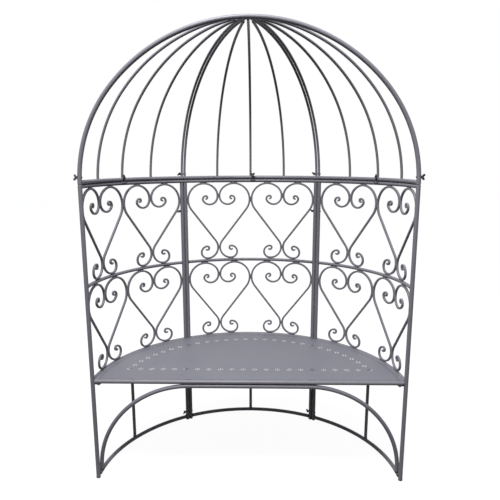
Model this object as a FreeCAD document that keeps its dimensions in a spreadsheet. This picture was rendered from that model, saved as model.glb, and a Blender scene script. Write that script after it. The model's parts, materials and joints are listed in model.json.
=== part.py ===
import FreeCAD, Part
import math
import os

from FreeCAD import Placement, Rotation, Vector

# Half-round garden arbour seat of bent steel tube.
# Three upright panels of scrolled hearts stand on a half circle and are bolted edge to edge.
# Three dome sections stand on the panels, and a D-shaped bench hangs inside them.
# The open side faces -Y, +X is to the right of a person who looks in, and Z is up from the ground.

# Driving sizes, in millimetres and degrees. Each name is an alias in the sheet.
SIZES = {
    "arc_radius": 700.0,
    "panel_angle": 60.0,
    "frame_tube": 19.0,
    "top_rail_tube": 16.0,
    "thin_tube": 12.0,
    "baluster_tube": 16.0,
    "thin_sides": 8,
    "frame_sides": 12,
    "bolt_sides": 8,
    "panel_gap": 1.0,
    "weld_gap": 0.3,
    "bottom_rail_height": 20.0,
    "bottom_rail_inset": 6.0,
    "rail_over_seat": 3.0,
    "seat_height": 487.5,
    "seat_tube": 19.0,
    "seat_clearance": 0.5,
    "sheet_thickness": 0.8,
    "sheet_recess": 0.8,
    "heart_row": 413.0,
    "scroll_bar": 9.5,
    "lobe_share": 0.525,
    "lobe_lap": 45.0,
    "coil_share": 0.265,
    "coil_lead": 10.0,
    "curl_share": 0.1052,
    "curl_lead": 56.3,
    "eye_share": 0.0495,
    "eye_sweep": 200.0,
    "foot_coil_share": 0.3558,
    "foot_curl_share": 0.2,
    "foot_curl_lead": 7.2,
    "foot_eye_share": 0.062,
    "foot_eye_sweep": 235.0,
    "saddle_depth": 4.0,
    "dome_rise": 647.0,
    "shoulder_share": 1.0033,
    "rib_gap": 3.2,
    "rib_angle": 14.67,
    "brace_leg": 1.9,
    "brace_inset": 6.0,
    "brace_lean": 24.0,
    "peg_tube": 12.0,
    "peg_height": 26.0,
    "peg_fit": 0.3,
    "collar_diameter": 18.0,
    "collar_height": 5.0,
    "punch_side": 6.8,
    "punch_spread": 9.0,
    "punch_pitch": 53.4,
    "punch_front_inset": 132.0,
    "punch_back_inset": 98.0,
    "bolt_diameter": 6.0,
    "bolt_fit": 0.2,
    "bolt_head": 9.0,
    "bolt_head_height": 1.8,
    "bolt_tail": 3.0,
    "face_gap": 0.1,
    "upper_bolt_height": 1186.0,
    "lower_bolt_height": 46.0,
    "rib_bolt_rise": 11.0,
    "arch_bolt_rise": 31.0,
    "arch_bolt_gap": 0.4,
    "spigot_diameter": 14.0,
    "spigot_reach": 40.0,
    "nut_hub": 11.0,
    "nut_height": 8.0,
    "nut_span": 26.0,
    "nut_wing_rise": 15.0,
    "nut_wing_thickness": 2.5,
    "nut_wing_tip": 6.0,
    "nut_wing_root": 2.0,
    "post_nut_turn": 35.0,
    "clamp_nut_turn": 46.0,
    "clamp_offset": 13.5,
    "clamp_reach": 6.0,
    "clamp_tab_width": 26.0,
    "clamp_tab_height": 5.8,
    "clamp_plate_width": 16.0,
    "clamp_plate_thickness": 3.0,
    "clamp_plate_drop": 3.3,
    "clamp_plate_end": 7.2,
    "clamp_shift": 1.0,
    "bracket_width": 16.0,
    "bracket_reach": 28.0,
    "bracket_thickness": 2.0,
    "seat_bolt_inset": 17.0,
    "seat_bolt_depth": 9.0,
    "cap_diameter": 22.0,
    "cap_height": 10.0,
    "cap_chamfer": 3.0,
    "cap_stem": 14.0,
    "cap_stem_length": 20.0,
}

doc = FreeCAD.newDocument("arbour_seat")

sheet = doc.addObject("Spreadsheet::Sheet", "Sizes")
for row, (alias, number) in enumerate(SIZES.items(), start=1):
    sheet.set("A%d" % row, alias)
    sheet.set("B%d" % row, str(number))
    sheet.setAlias("B%d" % row, alias)
doc.recompute()


def size(alias):
    """Read one driving size from the sheet."""
    return float(sheet.get(alias))


def add(kind, label, **bound):
    """Add an object whose properties are bound to sheet expressions."""
    piece = doc.addObject(kind, label)
    piece.Label = label
    for name, expression in bound.items():
        piece.setExpression(name, expression.replace("$", "Sizes."))
    return piece


nodes = {}


def export(piece):
    """Mark an object as one of the arbour's own pieces."""
    nodes[piece.Label] = piece
    return piece


# Places worked out from the driving sizes

RADIUS = size("arc_radius")
SPAN = size("panel_angle")
WELD = size("weld_gap")
FRAME_R = size("frame_tube") / 2
TOP_RAIL_R = size("top_rail_tube") / 2
THIN_R = size("thin_tube") / 2
SEAT_R = size("seat_tube") / 2

# The posts of neighbouring panels stand side by side across each panel boundary.
POST_OFFSET = FRAME_R + size("panel_gap") / 2
POST_ANGLE = math.degrees(math.asin(POST_OFFSET / RADIUS))
END_ANGLE = math.degrees(math.asin(size("panel_gap") / 2 / RADIUS))
FRONT_Y = POST_OFFSET

FACE = size("face_gap")
SADDLE = size("saddle_depth")
# A saddle's tool reaches three tube radii to each side of the joint.
SADDLE_ANGLE = math.degrees(3 * FRAME_R / RADIUS)
# Length of a tool that is sure to pass right through any tube or plate.
THROUGH = 4 * FRAME_R
SEAT_TOP = size("seat_height")
SEAT_TUBE_Z = SEAT_TOP - SEAT_R
SHEET_BOTTOM = SEAT_TOP - size("sheet_recess") - size("sheet_thickness")
SEAT_BACK_Z = SHEET_BOTTOM - WELD - SEAT_R
SEAT_RAIL_TOP = SEAT_TOP + size("rail_over_seat")
SEAT_RAIL_Z = SEAT_RAIL_TOP - FRAME_R
MIDDLE_RAIL_Z = SEAT_RAIL_TOP + size("heart_row") + TOP_RAIL_R
MIDDLE_RAIL_TOP = MIDDLE_RAIL_Z + TOP_RAIL_R
TOP_RAIL_Z = MIDDLE_RAIL_TOP + size("heart_row") + TOP_RAIL_R
ROOF_SEAM_Z = TOP_RAIL_Z + TOP_RAIL_R
ROOF_RAIL_Z = ROOF_SEAM_Z + WELD + FRAME_R
ROOF_RAIL_TOP = ROOF_RAIL_Z + FRAME_R
BOTTOM_RAIL_Z = size("bottom_rail_height")
BOTTOM_ARC = RADIUS - size("bottom_rail_inset")
BENCH_ARC = RADIUS - FRAME_R - size("seat_clearance")
SEAT_ARC = BENCH_ARC - SEAT_R
BALUSTER_ARC = SEAT_ARC + SEAT_R + WELD + size("baluster_tube") / 2

# The origin is on the ground at the middle of the whole arbour's outline.
FRONT_EDGE = FRONT_Y - size("cap_diameter") / 2
REAR_EDGE = RADIUS + FRAME_R
SHIFT_Y = -(FRONT_EDGE + REAR_EDGE) / 2

UP = Vector(0, 0, 1)


def at(x, y, z, turn=Rotation()):
    """Placement of a point of the half circle's own frame, moved to the arbour's origin."""
    return Placement(Vector(x, y + SHIFT_Y, z), turn)


def on_arc(angle, radius, z, turn=Rotation()):
    """Placement at a plan angle and radius, with local X outward and local Y along the arc."""
    spin = Rotation(UP, angle)
    x = radius * math.cos(math.radians(angle))
    y = radius * math.sin(math.radians(angle))
    return at(x, y, z, spin * turn)


ALONG_ARC = Rotation(Vector(1, 0, 0), -90)
OUTWARD = Rotation(Vector(0, 1, 0), 90)


# Building blocks: straight tubes, rolled tubes and bores

def rod(label, radius, length, place):
    """Straight round bar from its placement along local Z."""
    bar = add("Part::Cylinder", label, Radius=radius, Height=length)
    bar.Placement = place
    return bar


def flats(sides):
    """Turn that puts a regular polygon's flats square to its local axes."""
    return Rotation(UP, 180 / size(sides))


def across_flats(radius, sides):
    """Expression for a polygon's circumradius from the radius of the circle inside it."""
    return "(%s)/cos(180 deg/$%s)" % (radius, sides)


def prism(label, radius, length, place, sides):
    """Straight bar along local Z whose flats touch the circle of the given radius."""
    bar = add("Part::Prism", label, Polygon="$" + sides, Circumradius=across_flats(radius, sides),
              Height=length)
    bar.Placement = place.multiply(Placement(Vector(0, 0, 0), flats(sides)))
    return bar


def bent(label, bend, radius, sweep, sides, place):
    """Tube bent in its placement's XY plane about the local origin, from local X on."""
    profile = add("Part::RegularPolygon", label + "_profile", Polygon="$" + sides,
                  Circumradius=across_flats(radius, sides))
    profile.Placement = Placement(Vector(0, 0, 0), Rotation(Vector(1, 0, 0), 90) * flats(sides))
    profile.setExpression(".Placement.Base.x", bend.replace("$", "Sizes."))
    arc = add("Part::Revolution", label)
    arc.Source = profile
    arc.Axis = UP
    arc.Angle = sweep
    arc.Solid = True
    arc.Placement = place
    return arc


def rolled(label, bend, radius, start, sweep, z, sides="thin_sides"):
    """Tube rolled to an arc about the arbour's upright axis."""
    return bent(label, bend, radius, sweep, sides, at(0, 0, z, Rotation(UP, start)))


def together(label, pieces):
    """One compound of several cutting tools."""
    bundle = add("Part::Compound", label)
    bundle.Links = pieces
    return bundle


def cut(label, base, tools):
    """A piece with its copes and bores taken away."""
    result = add("Part::Cut", label)
    result.Base = base
    result.Tool = tools[0] if len(tools) == 1 else together(label + "_tools", tools)
    return result


def copies(label, source, places):
    """Identical pieces in one node: the source's solid at each place."""
    group = add("Part::Feature", label)
    solids = []
    for place in places:
        solid = source.Shape.copy()
        solid.Placement = place
        solids.append(solid)
    group.Shape = Part.makeCompound(solids)
    return export(group)


# Panels: posts, rails, balusters

PANELS = [("right_panel", 0.0), ("middle_panel", SPAN), ("left_panel", 2 * SPAN)]
POSTS = {
    "right_panel": ("right_panel_front_post", "right_panel_rear_post"),
    "middle_panel": ("middle_panel_right_post", "middle_panel_left_post"),
    "left_panel": ("left_panel_rear_post", "left_panel_front_post"),
}


def post_angles(start):
    """Plan angles of a panel's two posts."""
    return start + POST_ANGLE, start + SPAN - POST_ANGLE


def post_cope(label, angle, z, radius="$frame_tube/2"):
    """Upright cylinder that copes a rail's end to the post or rib it is welded to."""
    return rod(label, radius + " + $weld_gap", "%.6f" % THROUGH, on_arc(angle, RADIUS, z - THROUGH / 2))


def rail_saddle(label, bend, radius, angle, z):
    """Short piece of a rail, a weld's gap thicker, that saddles a tube's end to that rail."""
    return rolled(label, "%.6f" % bend, radius + " + $weld_gap", angle - SADDLE_ANGLE, 2 * SADDLE_ANGLE, z)


def bolt_bore(label, place):
    """Bore for a bolt, centred on a placement and along its local Z."""
    middle = place.multiply(Placement(Vector(0, 0, -THROUGH / 2), Rotation()))
    return prism(label, "$bolt_diameter/2 + $bolt_fit", "%.6f" % THROUGH, middle, "bolt_sides")


def post_bar(label, angle, top):
    """Plain post with the socket for its foot cap's stem."""
    foot = size("cap_height") + FACE
    bar = rod(label + "_bar", "$frame_tube/2", "%.6f" % (top - foot), on_arc(angle, RADIUS, foot))
    socket = rod(label + "_foot_socket", "$cap_stem/2 + $bolt_fit", "$cap_stem_length + $weld_gap",
                 on_arc(angle, RADIUS, foot))
    return bar, socket


def rear_post(label, angle):
    """Post under the end of the top rail, saddled to it and bored for the two panel bolts."""
    bar, foot_socket = post_bar(label, angle, TOP_RAIL_Z - TOP_RAIL_R + SADDLE)
    saddle = rail_saddle(label + "_saddle", RADIUS, "$top_rail_tube/2", angle, TOP_RAIL_Z)
    bores = []
    for level in ("upper", "lower"):
        place = on_arc(angle, RADIUS, size(level + "_bolt_height"), ALONG_ARC)
        bores.append(bolt_bore("%s_%s_bore" % (label, level), place))
    return export(cut(label, bar, [saddle, foot_socket] + bores))


def front_post(label, angle):
    """Post that the top rail butts against, socketed at its top for the roof arch's spigot."""
    bar, foot_socket = post_bar(label, angle, ROOF_SEAM_Z)
    depth = size("spigot_reach") + WELD
    socket = rod(label + "_socket", "$spigot_diameter/2 + $bolt_fit", "%.6f" % (2 * depth),
                 on_arc(angle, RADIUS, ROOF_SEAM_Z - depth))
    return export(cut(label, bar, [socket, foot_socket]))


def rail_between_posts(label, bend, radius, start, z):
    """Rail rolled to the panel's arc and coped to both of its posts."""
    first, last = post_angles(start)
    bite = math.degrees(math.asin(FRAME_R / 2 / RADIUS))
    bar = rolled(label + "_bar", bend, radius, first + bite, last - first - 2 * bite, z)
    copes = [post_cope(label + "_first_cope", first, z), post_cope(label + "_last_cope", last, z)]
    return export(cut(label, bar, copes))


def rail_over_posts(label, radius, start, z, front_radius="$frame_tube/2"):
    """Rail that runs over the rear posts to the panel's edge and butts against a front tube."""
    first = start + END_ANGLE
    last = start + SPAN - END_ANGLE
    front = None
    if start == 0.0:
        first = start + POST_ANGLE
        front = first
    if start == 2 * SPAN:
        last = start + SPAN - POST_ANGLE
        front = last
    name = label if front is None else label + "_bar"
    bar = rolled(name, "$arc_radius", radius, first, last - first, z)
    if front is None:
        return export(bar)
    return export(cut(label, bar, [post_cope(label + "_cope", front, z, front_radius)]))


def baluster(label, angle):
    """Upright below the bench, saddled to the bottom rail and to the seat rail."""
    foot = BOTTOM_RAIL_Z + FRAME_R - SADDLE
    head = SEAT_RAIL_Z - FRAME_R + SADDLE
    bar = rod(label + "_bar", "$baluster_tube/2", "%.6f" % (head - foot), on_arc(angle, BALUSTER_ARC, foot))
    lower = rail_saddle(label + "_foot_saddle", BOTTOM_ARC, "$frame_tube/2", angle, BOTTOM_RAIL_Z)
    upper = rail_saddle(label + "_head_saddle", RADIUS, "$frame_tube/2", angle, SEAT_RAIL_Z)
    return export(cut(label, bar, [lower, upper]))


for panel, start in PANELS:
    first, last = post_angles(start)
    first_name, last_name = POSTS[panel]
    if panel == "right_panel":
        front_post(first_name, first)
    else:
        rear_post(first_name, first)
    if panel == "left_panel":
        front_post(last_name, last)
    else:
        rear_post(last_name, last)
    rail_over_posts(panel + "_top_rail", "$top_rail_tube/2", start, TOP_RAIL_Z)
    rail_between_posts(panel + "_middle_rail", "$arc_radius", "$top_rail_tube/2", start, MIDDLE_RAIL_Z)
    rail_between_posts(panel + "_seat_rail", "$arc_radius", "$frame_tube/2", start, SEAT_RAIL_Z)
    rail_between_posts(panel + "_bottom_rail", "$arc_radius - $bottom_rail_inset", "$frame_tube/2", start,
                       BOTTOM_RAIL_Z)
    baluster(panel + "_baluster", start + SPAN / 2)


# Scrolled hearts: one square bar bent to an S, four to each row of a panel

def ray(angle):
    """Unit vector at an angle in the bar's own plane."""
    return Vector(math.cos(math.radians(angle)), math.sin(math.radians(angle)), 0)


HALF_ANGLE = (SPAN / 2 - POST_ANGLE - math.degrees(math.asin(FRAME_R / RADIUS))) / 4
SCROLL_PLANE = RADIUS * (1 + math.cos(math.radians(HALF_ANGLE))) / 2
SCROLL_WIDTH = 2 * SCROLL_PLANE * math.tan(math.radians(HALF_ANGLE))


def scroll_path():
    """Centre line of the S as arcs (centre, radius, from angle, to angle) from tip to tip."""
    half_bar = size("scroll_bar") / 2
    side = half_bar * (1 + math.tan(math.radians(HALF_ANGLE))) + WELD / 2
    width = SCROLL_WIDTH - 2 * side
    lobe = size("lobe_share") * width
    lap = size("lobe_lap")
    spread = math.sin(math.radians(lap))
    throat = (width - lobe * (1 + spread)) / (1 - spread)
    coil, lead = size("coil_share") * width, 180 + size("coil_lead")
    curl, curl_lead = size("curl_share") * width, 270 + size("curl_lead")
    eye = size("eye_share") * width
    top = size("heart_row") - WELD - half_bar
    lobe_centre = Vector(side + width - lobe, top - lobe, 0)
    throat_centre = lobe_centre + ray(90 + lap) * (lobe - throat)
    coil_centre = throat_centre + ray(lead) * (throat - coil)
    curl_centre = coil_centre + ray(curl_lead) * (coil - curl)
    eye_centre = curl_centre + ray(90) * (curl - eye)

    foot = size("foot_coil_share") * width
    foot_curl, foot_lead = size("foot_curl_share") * width, 270 + size("foot_curl_lead")
    foot_eye = size("foot_eye_share") * width
    foot_centre = Vector(side + foot, WELD + half_bar + foot, 0)
    foot_curl_centre = foot_centre + ray(foot_lead) * (foot - foot_curl)
    foot_eye_centre = foot_curl_centre + ray(90) * (foot_curl - foot_eye)

    between = foot_centre - lobe_centre
    lean = math.degrees(math.asin((lobe + foot) / between.Length))
    heading = math.degrees(math.atan2(between.y, between.x)) - lean
    drop = -90 - heading
    upper = [
        (eye_centre, eye, 450 + size("eye_sweep"), 450),
        (curl_centre, curl, 450, curl_lead),
        (coil_centre, coil, curl_lead, lead),
        (throat_centre, throat, lead, 90 + lap),
        (lobe_centre, lobe, 90 + lap, -drop),
    ]
    lower = [
        (foot_centre, foot, 180 - drop, foot_lead),
        (foot_curl_centre, foot_curl, foot_lead, 450),
        (foot_eye_centre, foot_eye, 450, 450 + size("foot_eye_sweep")),
    ]
    return upper, lower


def scroll_outline(upper, lower):
    """Closed outline of the bar: both of its long sides and its two square ends."""
    half_bar = size("scroll_bar") / 2
    edges = []
    ends = {}
    for side in (1, -1):
        ends[side] = []
        for arcs, turn in ((upper, side), (lower, -side)):
            for centre, radius, begin, finish in arcs:
                r = radius + turn * half_bar
                points = [centre + ray(turned) * r for turned in (begin, (begin + finish) / 2, finish)]
                edges.append(Part.Arc(*points))
                ends[side] += [points[0], points[2]]
        joint = 2 * len(upper)
        edges.append(Part.LineSegment(ends[side][joint - 1], ends[side][joint]))
    edges.append(Part.LineSegment(ends[1][0], ends[-1][0]))
    edges.append(Part.LineSegment(ends[1][-1], ends[-1][-1]))
    return edges


scroll = doc.addObject("PartDesign::Body", "scroll_bar_master")
scroll_sketch = scroll.newObject("Sketcher::SketchObject", "scroll_outline")
scroll_sketch.AttachmentSupport = [
    (plane, "") for plane in scroll.Origin.OriginFeatures if plane.Role == "XY_Plane"]
scroll_sketch.MapMode = "FlatFace"
for edge in scroll_outline(*scroll_path()):
    scroll_sketch.addGeometry(edge, False)
scroll_pad = scroll.newObject("PartDesign::Pad", "scroll_thickness")
scroll_pad.Profile = scroll_sketch
scroll_pad.setExpression("Length", "Sizes.scroll_bar")
scroll_pad.Midplane = True
doc.recompute()


def scroll_places(start, z):
    """Four places in a panel row: two hearts, each of two bars back to back at its axis."""
    inner = start + POST_ANGLE + math.degrees(math.asin(FRAME_R / RADIUS))
    places = []
    for half in range(4):
        edge = inner + 2 * HALF_ANGLE * half
        middle = edge + HALF_ANGLE
        outward_is_ahead = half % 2 == 1
        stand = Rotation(Vector(0, 1, 0), UP, Vector(1, 0, 0), "ZXY")
        begin = -SCROLL_WIDTH / 2
        if not outward_is_ahead:
            stand = Rotation(Vector(0, -1, 0), UP, Vector(-1, 0, 0), "ZXY")
        place = on_arc(middle, SCROLL_PLANE, z, stand)
        places.append(place.multiply(Placement(Vector(begin, 0, 0), Rotation())))
    return places


for panel, start in PANELS:
    copies(panel + "_upper_scrolls", scroll, scroll_places(start, MIDDLE_RAIL_TOP))
    copies(panel + "_lower_scrolls", scroll, scroll_places(start, SEAT_RAIL_TOP))


# Roof: rolled base rails and ribs of two tangent arcs that close at the crown

DOME_RISE = size("dome_rise")
# The shoulder's bend is that of an ellipse through the crown, so that a flat or a tall dome stays smooth.
DOME_SHOULDER = size("shoulder_share") * DOME_RISE ** 2 / RADIUS
DOME_BASE_Z = ROOF_SEAM_Z
SHOULDER_SET = RADIUS - DOME_SHOULDER
CROWN_RADIUS = (SHOULDER_SET ** 2 + DOME_RISE ** 2 - DOME_SHOULDER ** 2) / (2 * (DOME_RISE - DOME_SHOULDER))
CROWN_Z = DOME_BASE_Z + DOME_RISE - CROWN_RADIUS
JOINT_ANGLE = math.degrees(math.atan((DOME_BASE_Z - CROWN_Z) / SHOULDER_SET))
EDGE_OFFSET = THIN_R + size("rib_gap") / 2


def rib(label, radius, sides, boundary, offset, foot_z, stop):
    """Rib in an upright plane at a plan angle, set aside by an offset, from its foot to the crown.

    The rib ends where its centre line is at the distance stop from the arbour's upright axis.
    """
    foot_angle = math.degrees(math.asin((foot_z - DOME_BASE_Z) / DOME_SHOULDER))
    stop_angle = math.degrees(math.acos(stop / CROWN_RADIUS))
    turn = Rotation(UP, boundary)
    upright = turn * Rotation(Vector(1, 0, 0), 90)
    aside = turn.multVec(Vector(0, offset, 0))
    centre = aside + turn.multVec(Vector(SHOULDER_SET, 0, 0))
    shoulder = bent(label + "_shoulder", "%.9f" % DOME_SHOULDER, radius, JOINT_ANGLE - foot_angle, sides,
                    at(centre.x, centre.y, DOME_BASE_Z, upright * Rotation(UP, foot_angle)))
    crown = bent(label + "_crown", "%.9f" % CROWN_RADIUS, radius, stop_angle - JOINT_ANGLE, sides,
                 at(aside.x, aside.y, CROWN_Z, upright * Rotation(UP, JOINT_ANGLE)))
    whole = add("Part::Fuse", label)
    whole.Base = shoulder
    whole.Tool = crown
    return whole


def stop_beside(half_gap, reach, aside):
    """Distance from the axis at which a rib, at an angle to a neighbour, has come up against it."""
    return (half_gap + aside) / math.sin(math.radians(reach))


HALF_SPAN = SPAN / 2
RIB_ANGLE = size("rib_angle")
RIB_FOOT = ROOF_RAIL_TOP - SADDLE
THIN_CORNER = THIN_R / math.cos(math.pi / size("thin_sides"))
FRAME_CORNER = FRAME_R / math.cos(math.pi / size("frame_sides"))
TO_AXIS = THIN_CORNER + WELD / 2
TO_THIN = 2 * THIN_CORNER + WELD
TO_FRONT = FRAME_CORNER + THIN_CORNER + WELD
EDGE_STOP = stop_beside(TO_AXIS, HALF_SPAN, EDGE_OFFSET * math.cos(math.radians(HALF_SPAN)))
SIDE_EDGE_STOP = stop_beside(TO_FRONT, SPAN, FRONT_Y + EDGE_OFFSET * math.cos(math.radians(SPAN)))
MIDDLE_STOP = stop_beside(TO_THIN, HALF_SPAN, EDGE_OFFSET)
SIDE_MIDDLE_STOP = stop_beside(TO_FRONT, HALF_SPAN, FRONT_Y)
INNER_STOP = stop_beside(TO_THIN, HALF_SPAN - RIB_ANGLE, EDGE_OFFSET)
FRONT_INNER_STOP = stop_beside(TO_FRONT, HALF_SPAN - RIB_ANGLE, FRONT_Y)
RIB_BOLT_Z = ROOF_RAIL_TOP + size("rib_bolt_rise")
ARCH_BOLT_Z = ROOF_SEAM_Z + size("arch_bolt_rise")


def thin_rib(label, angle, offset, stop, bores):
    """Thin rib saddled to its roof rail, with any bores through its foot."""
    bar = rib(label + "_bar", "$thin_tube/2", "thin_sides", angle, offset, RIB_FOOT, stop)
    saddle = rail_saddle(label + "_foot_saddle", RADIUS, "$frame_tube/2", angle, ROOF_RAIL_Z)
    return export(cut(label, bar, [saddle] + bores))


def edge_rib(label, boundary, side, stop):
    """Thin rib beside a panel boundary, bored for the bolt that pairs it with its neighbour."""
    bore = bolt_bore(label + "_bore", on_arc(boundary, RADIUS, RIB_BOLT_Z, ALONG_ARC))
    return thin_rib(label, boundary, side * EDGE_OFFSET, stop, [bore])


def front_rib(label, boundary, side):
    """Half of the front arch, which stands on its post over the spigot."""
    bar = rib(label + "_bar", "$frame_tube/2", "frame_sides", boundary, side * FRONT_Y, DOME_BASE_Z + WELD,
              WELD / 2)
    angle = boundary + side * POST_ANGLE
    depth = size("spigot_reach") + WELD
    socket = rod(label + "_socket", "$spigot_diameter/2 + $bolt_fit", "%.6f" % (2 * depth),
                 on_arc(angle, RADIUS, ROOF_SEAM_Z - depth))
    bore = bolt_bore(label + "_bore", on_arc(angle, RADIUS, ARCH_BOLT_Z, OUTWARD))
    return export(cut(label, bar, [socket, bore]))


front_rib("right_roof_front_rib", 0.0, 1)
front_rib("left_roof_front_rib", 3 * SPAN, -1)
edge_rib("right_roof_rear_rib", SPAN, -1, SIDE_EDGE_STOP)
edge_rib("middle_roof_right_rib", SPAN, 1, EDGE_STOP)
edge_rib("middle_roof_left_rib", 2 * SPAN, -1, EDGE_STOP)
edge_rib("left_roof_rear_rib", 2 * SPAN, 1, SIDE_EDGE_STOP)

INNER_RIBS = [
    ("right_roof_inner_rib_front", HALF_SPAN - RIB_ANGLE, FRONT_INNER_STOP),
    ("right_roof_inner_rib_middle", HALF_SPAN, SIDE_MIDDLE_STOP),
    ("right_roof_inner_rib_rear", HALF_SPAN + RIB_ANGLE, INNER_STOP),
    ("middle_roof_inner_rib_right", SPAN + HALF_SPAN - RIB_ANGLE, INNER_STOP),
    ("middle_roof_inner_rib_middle", SPAN + HALF_SPAN, MIDDLE_STOP),
    ("middle_roof_inner_rib_left", SPAN + HALF_SPAN + RIB_ANGLE, INNER_STOP),
    ("left_roof_inner_rib_rear", 2 * SPAN + HALF_SPAN - RIB_ANGLE, INNER_STOP),
    ("left_roof_inner_rib_middle", 2 * SPAN + HALF_SPAN, SIDE_MIDDLE_STOP),
    ("left_roof_inner_rib_front", 2 * SPAN + HALF_SPAN + RIB_ANGLE, FRONT_INNER_STOP),
]
for name, angle, stop in INNER_RIBS:
    thin_rib(name, angle, 0.0, stop, [])

for panel, start in PANELS:
    rail_over_posts(panel.replace("panel", "roof") + "_base_rail", "$frame_tube/2", start, ROOF_RAIL_Z,
                    "%.6f" % FRAME_CORNER)


# Bench: D-shaped tube frame, punched sheet, brackets under its edge

POST_X = RADIUS * math.cos(math.radians(POST_ANGLE))
FRONT_TUBE_REACH = POST_X - FRAME_R - WELD
SEAT_BOLT_X = FRONT_TUBE_REACH - size("seat_bolt_inset")
FRONT_BRACKET_TOP = SEAT_TUBE_Z - SEAT_R - WELD
REAR_BRACKET_TOP = SEAT_BACK_Z - SEAT_R - WELD
MIDDLE_POSTS = post_angles(SPAN)


def front_bracket_place(side, x):
    """Placement under the front tube, with local X toward the middle of the bench."""
    return at(side * x, FRONT_Y, FRONT_BRACKET_TOP, Rotation(UP, 90 + side * 90))


def rear_bracket_place(angle, radius):
    """Placement under the back tube at a rear post, with local X toward the middle of the bench."""
    return on_arc(angle, radius, REAR_BRACKET_TOP, Rotation(UP, 180))


SEAT_BOLT_PLACES = [front_bracket_place(side, SEAT_BOLT_X) for side in (1, -1)]
SEAT_BOLT_PLACES += [rear_bracket_place(angle, SEAT_ARC) for angle in MIDDLE_POSTS]


def seat_bolt_bore(label, place):
    """Blind bore up into the bench's edge tube."""
    height = size("seat_bolt_depth") + 2 * WELD
    return prism(label, "$bolt_diameter/2 + $bolt_fit", "%.6f" % height, place, "bolt_sides")


front_bar = rod("seat_front_tube_bar", "$seat_tube/2", "%.6f" % (2 * FRONT_TUBE_REACH),
                at(-FRONT_TUBE_REACH, FRONT_Y, SEAT_TUBE_Z, OUTWARD))
front_bores = [seat_bolt_bore("seat_front_tube_bore_%d" % n, SEAT_BOLT_PLACES[n]) for n in (0, 1)]
export(cut("seat_front_tube", front_bar, front_bores))

# The back tube stops short of the brackets under the front tube's ends.
BACK_END_Y = FRONT_Y + size("bracket_width") / 2 + 2 * WELD
BACK_START = math.degrees(math.asin(BACK_END_Y / (SEAT_ARC - SEAT_R)))
back_bar = rolled("seat_back_tube_bar", "%.6f" % SEAT_ARC, "$seat_tube/2", BACK_START, 180 - 2 * BACK_START,
                  SEAT_BACK_Z, "frame_sides")
back_cope = rod("seat_back_tube_cope", "$seat_tube/2 + $weld_gap", "%.6f" % (2 * RADIUS),
                at(-RADIUS, FRONT_Y, SEAT_TUBE_Z, OUTWARD))
back_bores = [seat_bolt_bore("seat_back_tube_bore_%d" % n, SEAT_BOLT_PLACES[n]) for n in (2, 3)]
export(cut("seat_back_tube", back_bar, [back_cope] + back_bores))

SEAT_CORNER = SEAT_R / math.cos(math.pi / size("frame_sides"))
SHEET_EDGE = math.sqrt(SEAT_CORNER ** 2 - (SHEET_BOTTOM - SEAT_TUBE_Z) ** 2) + WELD


def plan_point(x, y):
    """Point of the bench's plan at the height of the sheet's underside."""
    return Vector(x, y + SHIFT_Y, SHEET_BOTTOM)


def sheet_edge():
    """Outline of the sheet: a straight front inside the front tube and an arc over the curved tube."""
    radius = BENCH_ARC
    front = FRONT_Y + SHEET_EDGE
    side = math.sqrt(radius ** 2 - front ** 2)
    right, left = plan_point(side, front), plan_point(-side, front)
    arc = Part.Arc(right, plan_point(0, radius), left).toShape()
    return Part.Wire([arc, Part.LineSegment(left, right).toShape()])


def punch_centres():
    """Middles of the punched flowers: a straight row at the front and an arc row behind it."""
    pitch = size("punch_pitch")
    arc_radius = SEAT_ARC - size("punch_back_inset")
    front = FRONT_Y + size("punch_front_inset")
    reach = math.sqrt(arc_radius ** 2 - front ** 2)
    gaps = round(2 * reach / pitch)
    centres = [(-reach + 2 * reach * step / gaps, front, 0.0) for step in range(gaps + 1)]
    begin = math.atan2(front, reach)
    sweep = math.pi - 2 * begin
    turns = round(arc_radius * sweep / pitch)
    for step in range(1, turns):
        angle = begin + sweep * step / turns
        centres.append((arc_radius * math.cos(angle), arc_radius * math.sin(angle), angle - math.pi / 2))
    return centres


def punched_flower(x, y, turn):
    """Four small square holes round one middle."""
    wires = []
    half = size("punch_side") / math.sqrt(2)
    for petal in range(4):
        angle = turn + petal * math.pi / 2
        px = x + size("punch_spread") * math.cos(angle)
        py = y + size("punch_spread") * math.sin(angle)
        corners = [plan_point(px + half * math.cos(angle + quarter * math.pi / 2),
                              py + half * math.sin(angle + quarter * math.pi / 2)) for quarter in range(5)]
        wires.append(Part.makePolygon(corners))
    return wires


sheet_plan = add("Part::Feature", "seat_sheet_plan")
punches = [wire for centre in punch_centres() for wire in punched_flower(*centre)]
sheet_plan.Shape = Part.makeFace([sheet_edge()] + punches, "Part::FaceMakerBullseye")
seat_sheet = add("Part::Extrusion", "seat_sheet", LengthFwd="$sheet_thickness")
seat_sheet.Base = sheet_plan
seat_sheet.DirMode = "Custom"
seat_sheet.Dir = UP
seat_sheet.Solid = True
export(seat_sheet)


def seat_bracket(label, place, bolt_reach):
    """Flat tab from a post to under the bench's edge, coped to the post and bored for its bolt."""
    thickness = size("bracket_thickness")
    plate = add("Part::Box", label + "_plate", Length="$bracket_reach + $frame_tube/2",
                Width="$bracket_width", Height="$bracket_thickness")
    plate.Placement = place.multiply(Placement(Vector(0, -size("bracket_width") / 2, -thickness), Rotation()))
    low = Vector(0, 0, -2 * thickness)
    cope = rod(label + "_cope", "$frame_tube/2 + $weld_gap", "3*$bracket_thickness",
               place.multiply(Placement(low, Rotation())))
    bore = prism(label + "_bore", "$bolt_diameter/2 + $bolt_fit", "3*$bracket_thickness",
                 place.multiply(Placement(low + Vector(bolt_reach, 0, 0), Rotation())), "bolt_sides")
    return cut(label, plate, [cope, bore])


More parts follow.
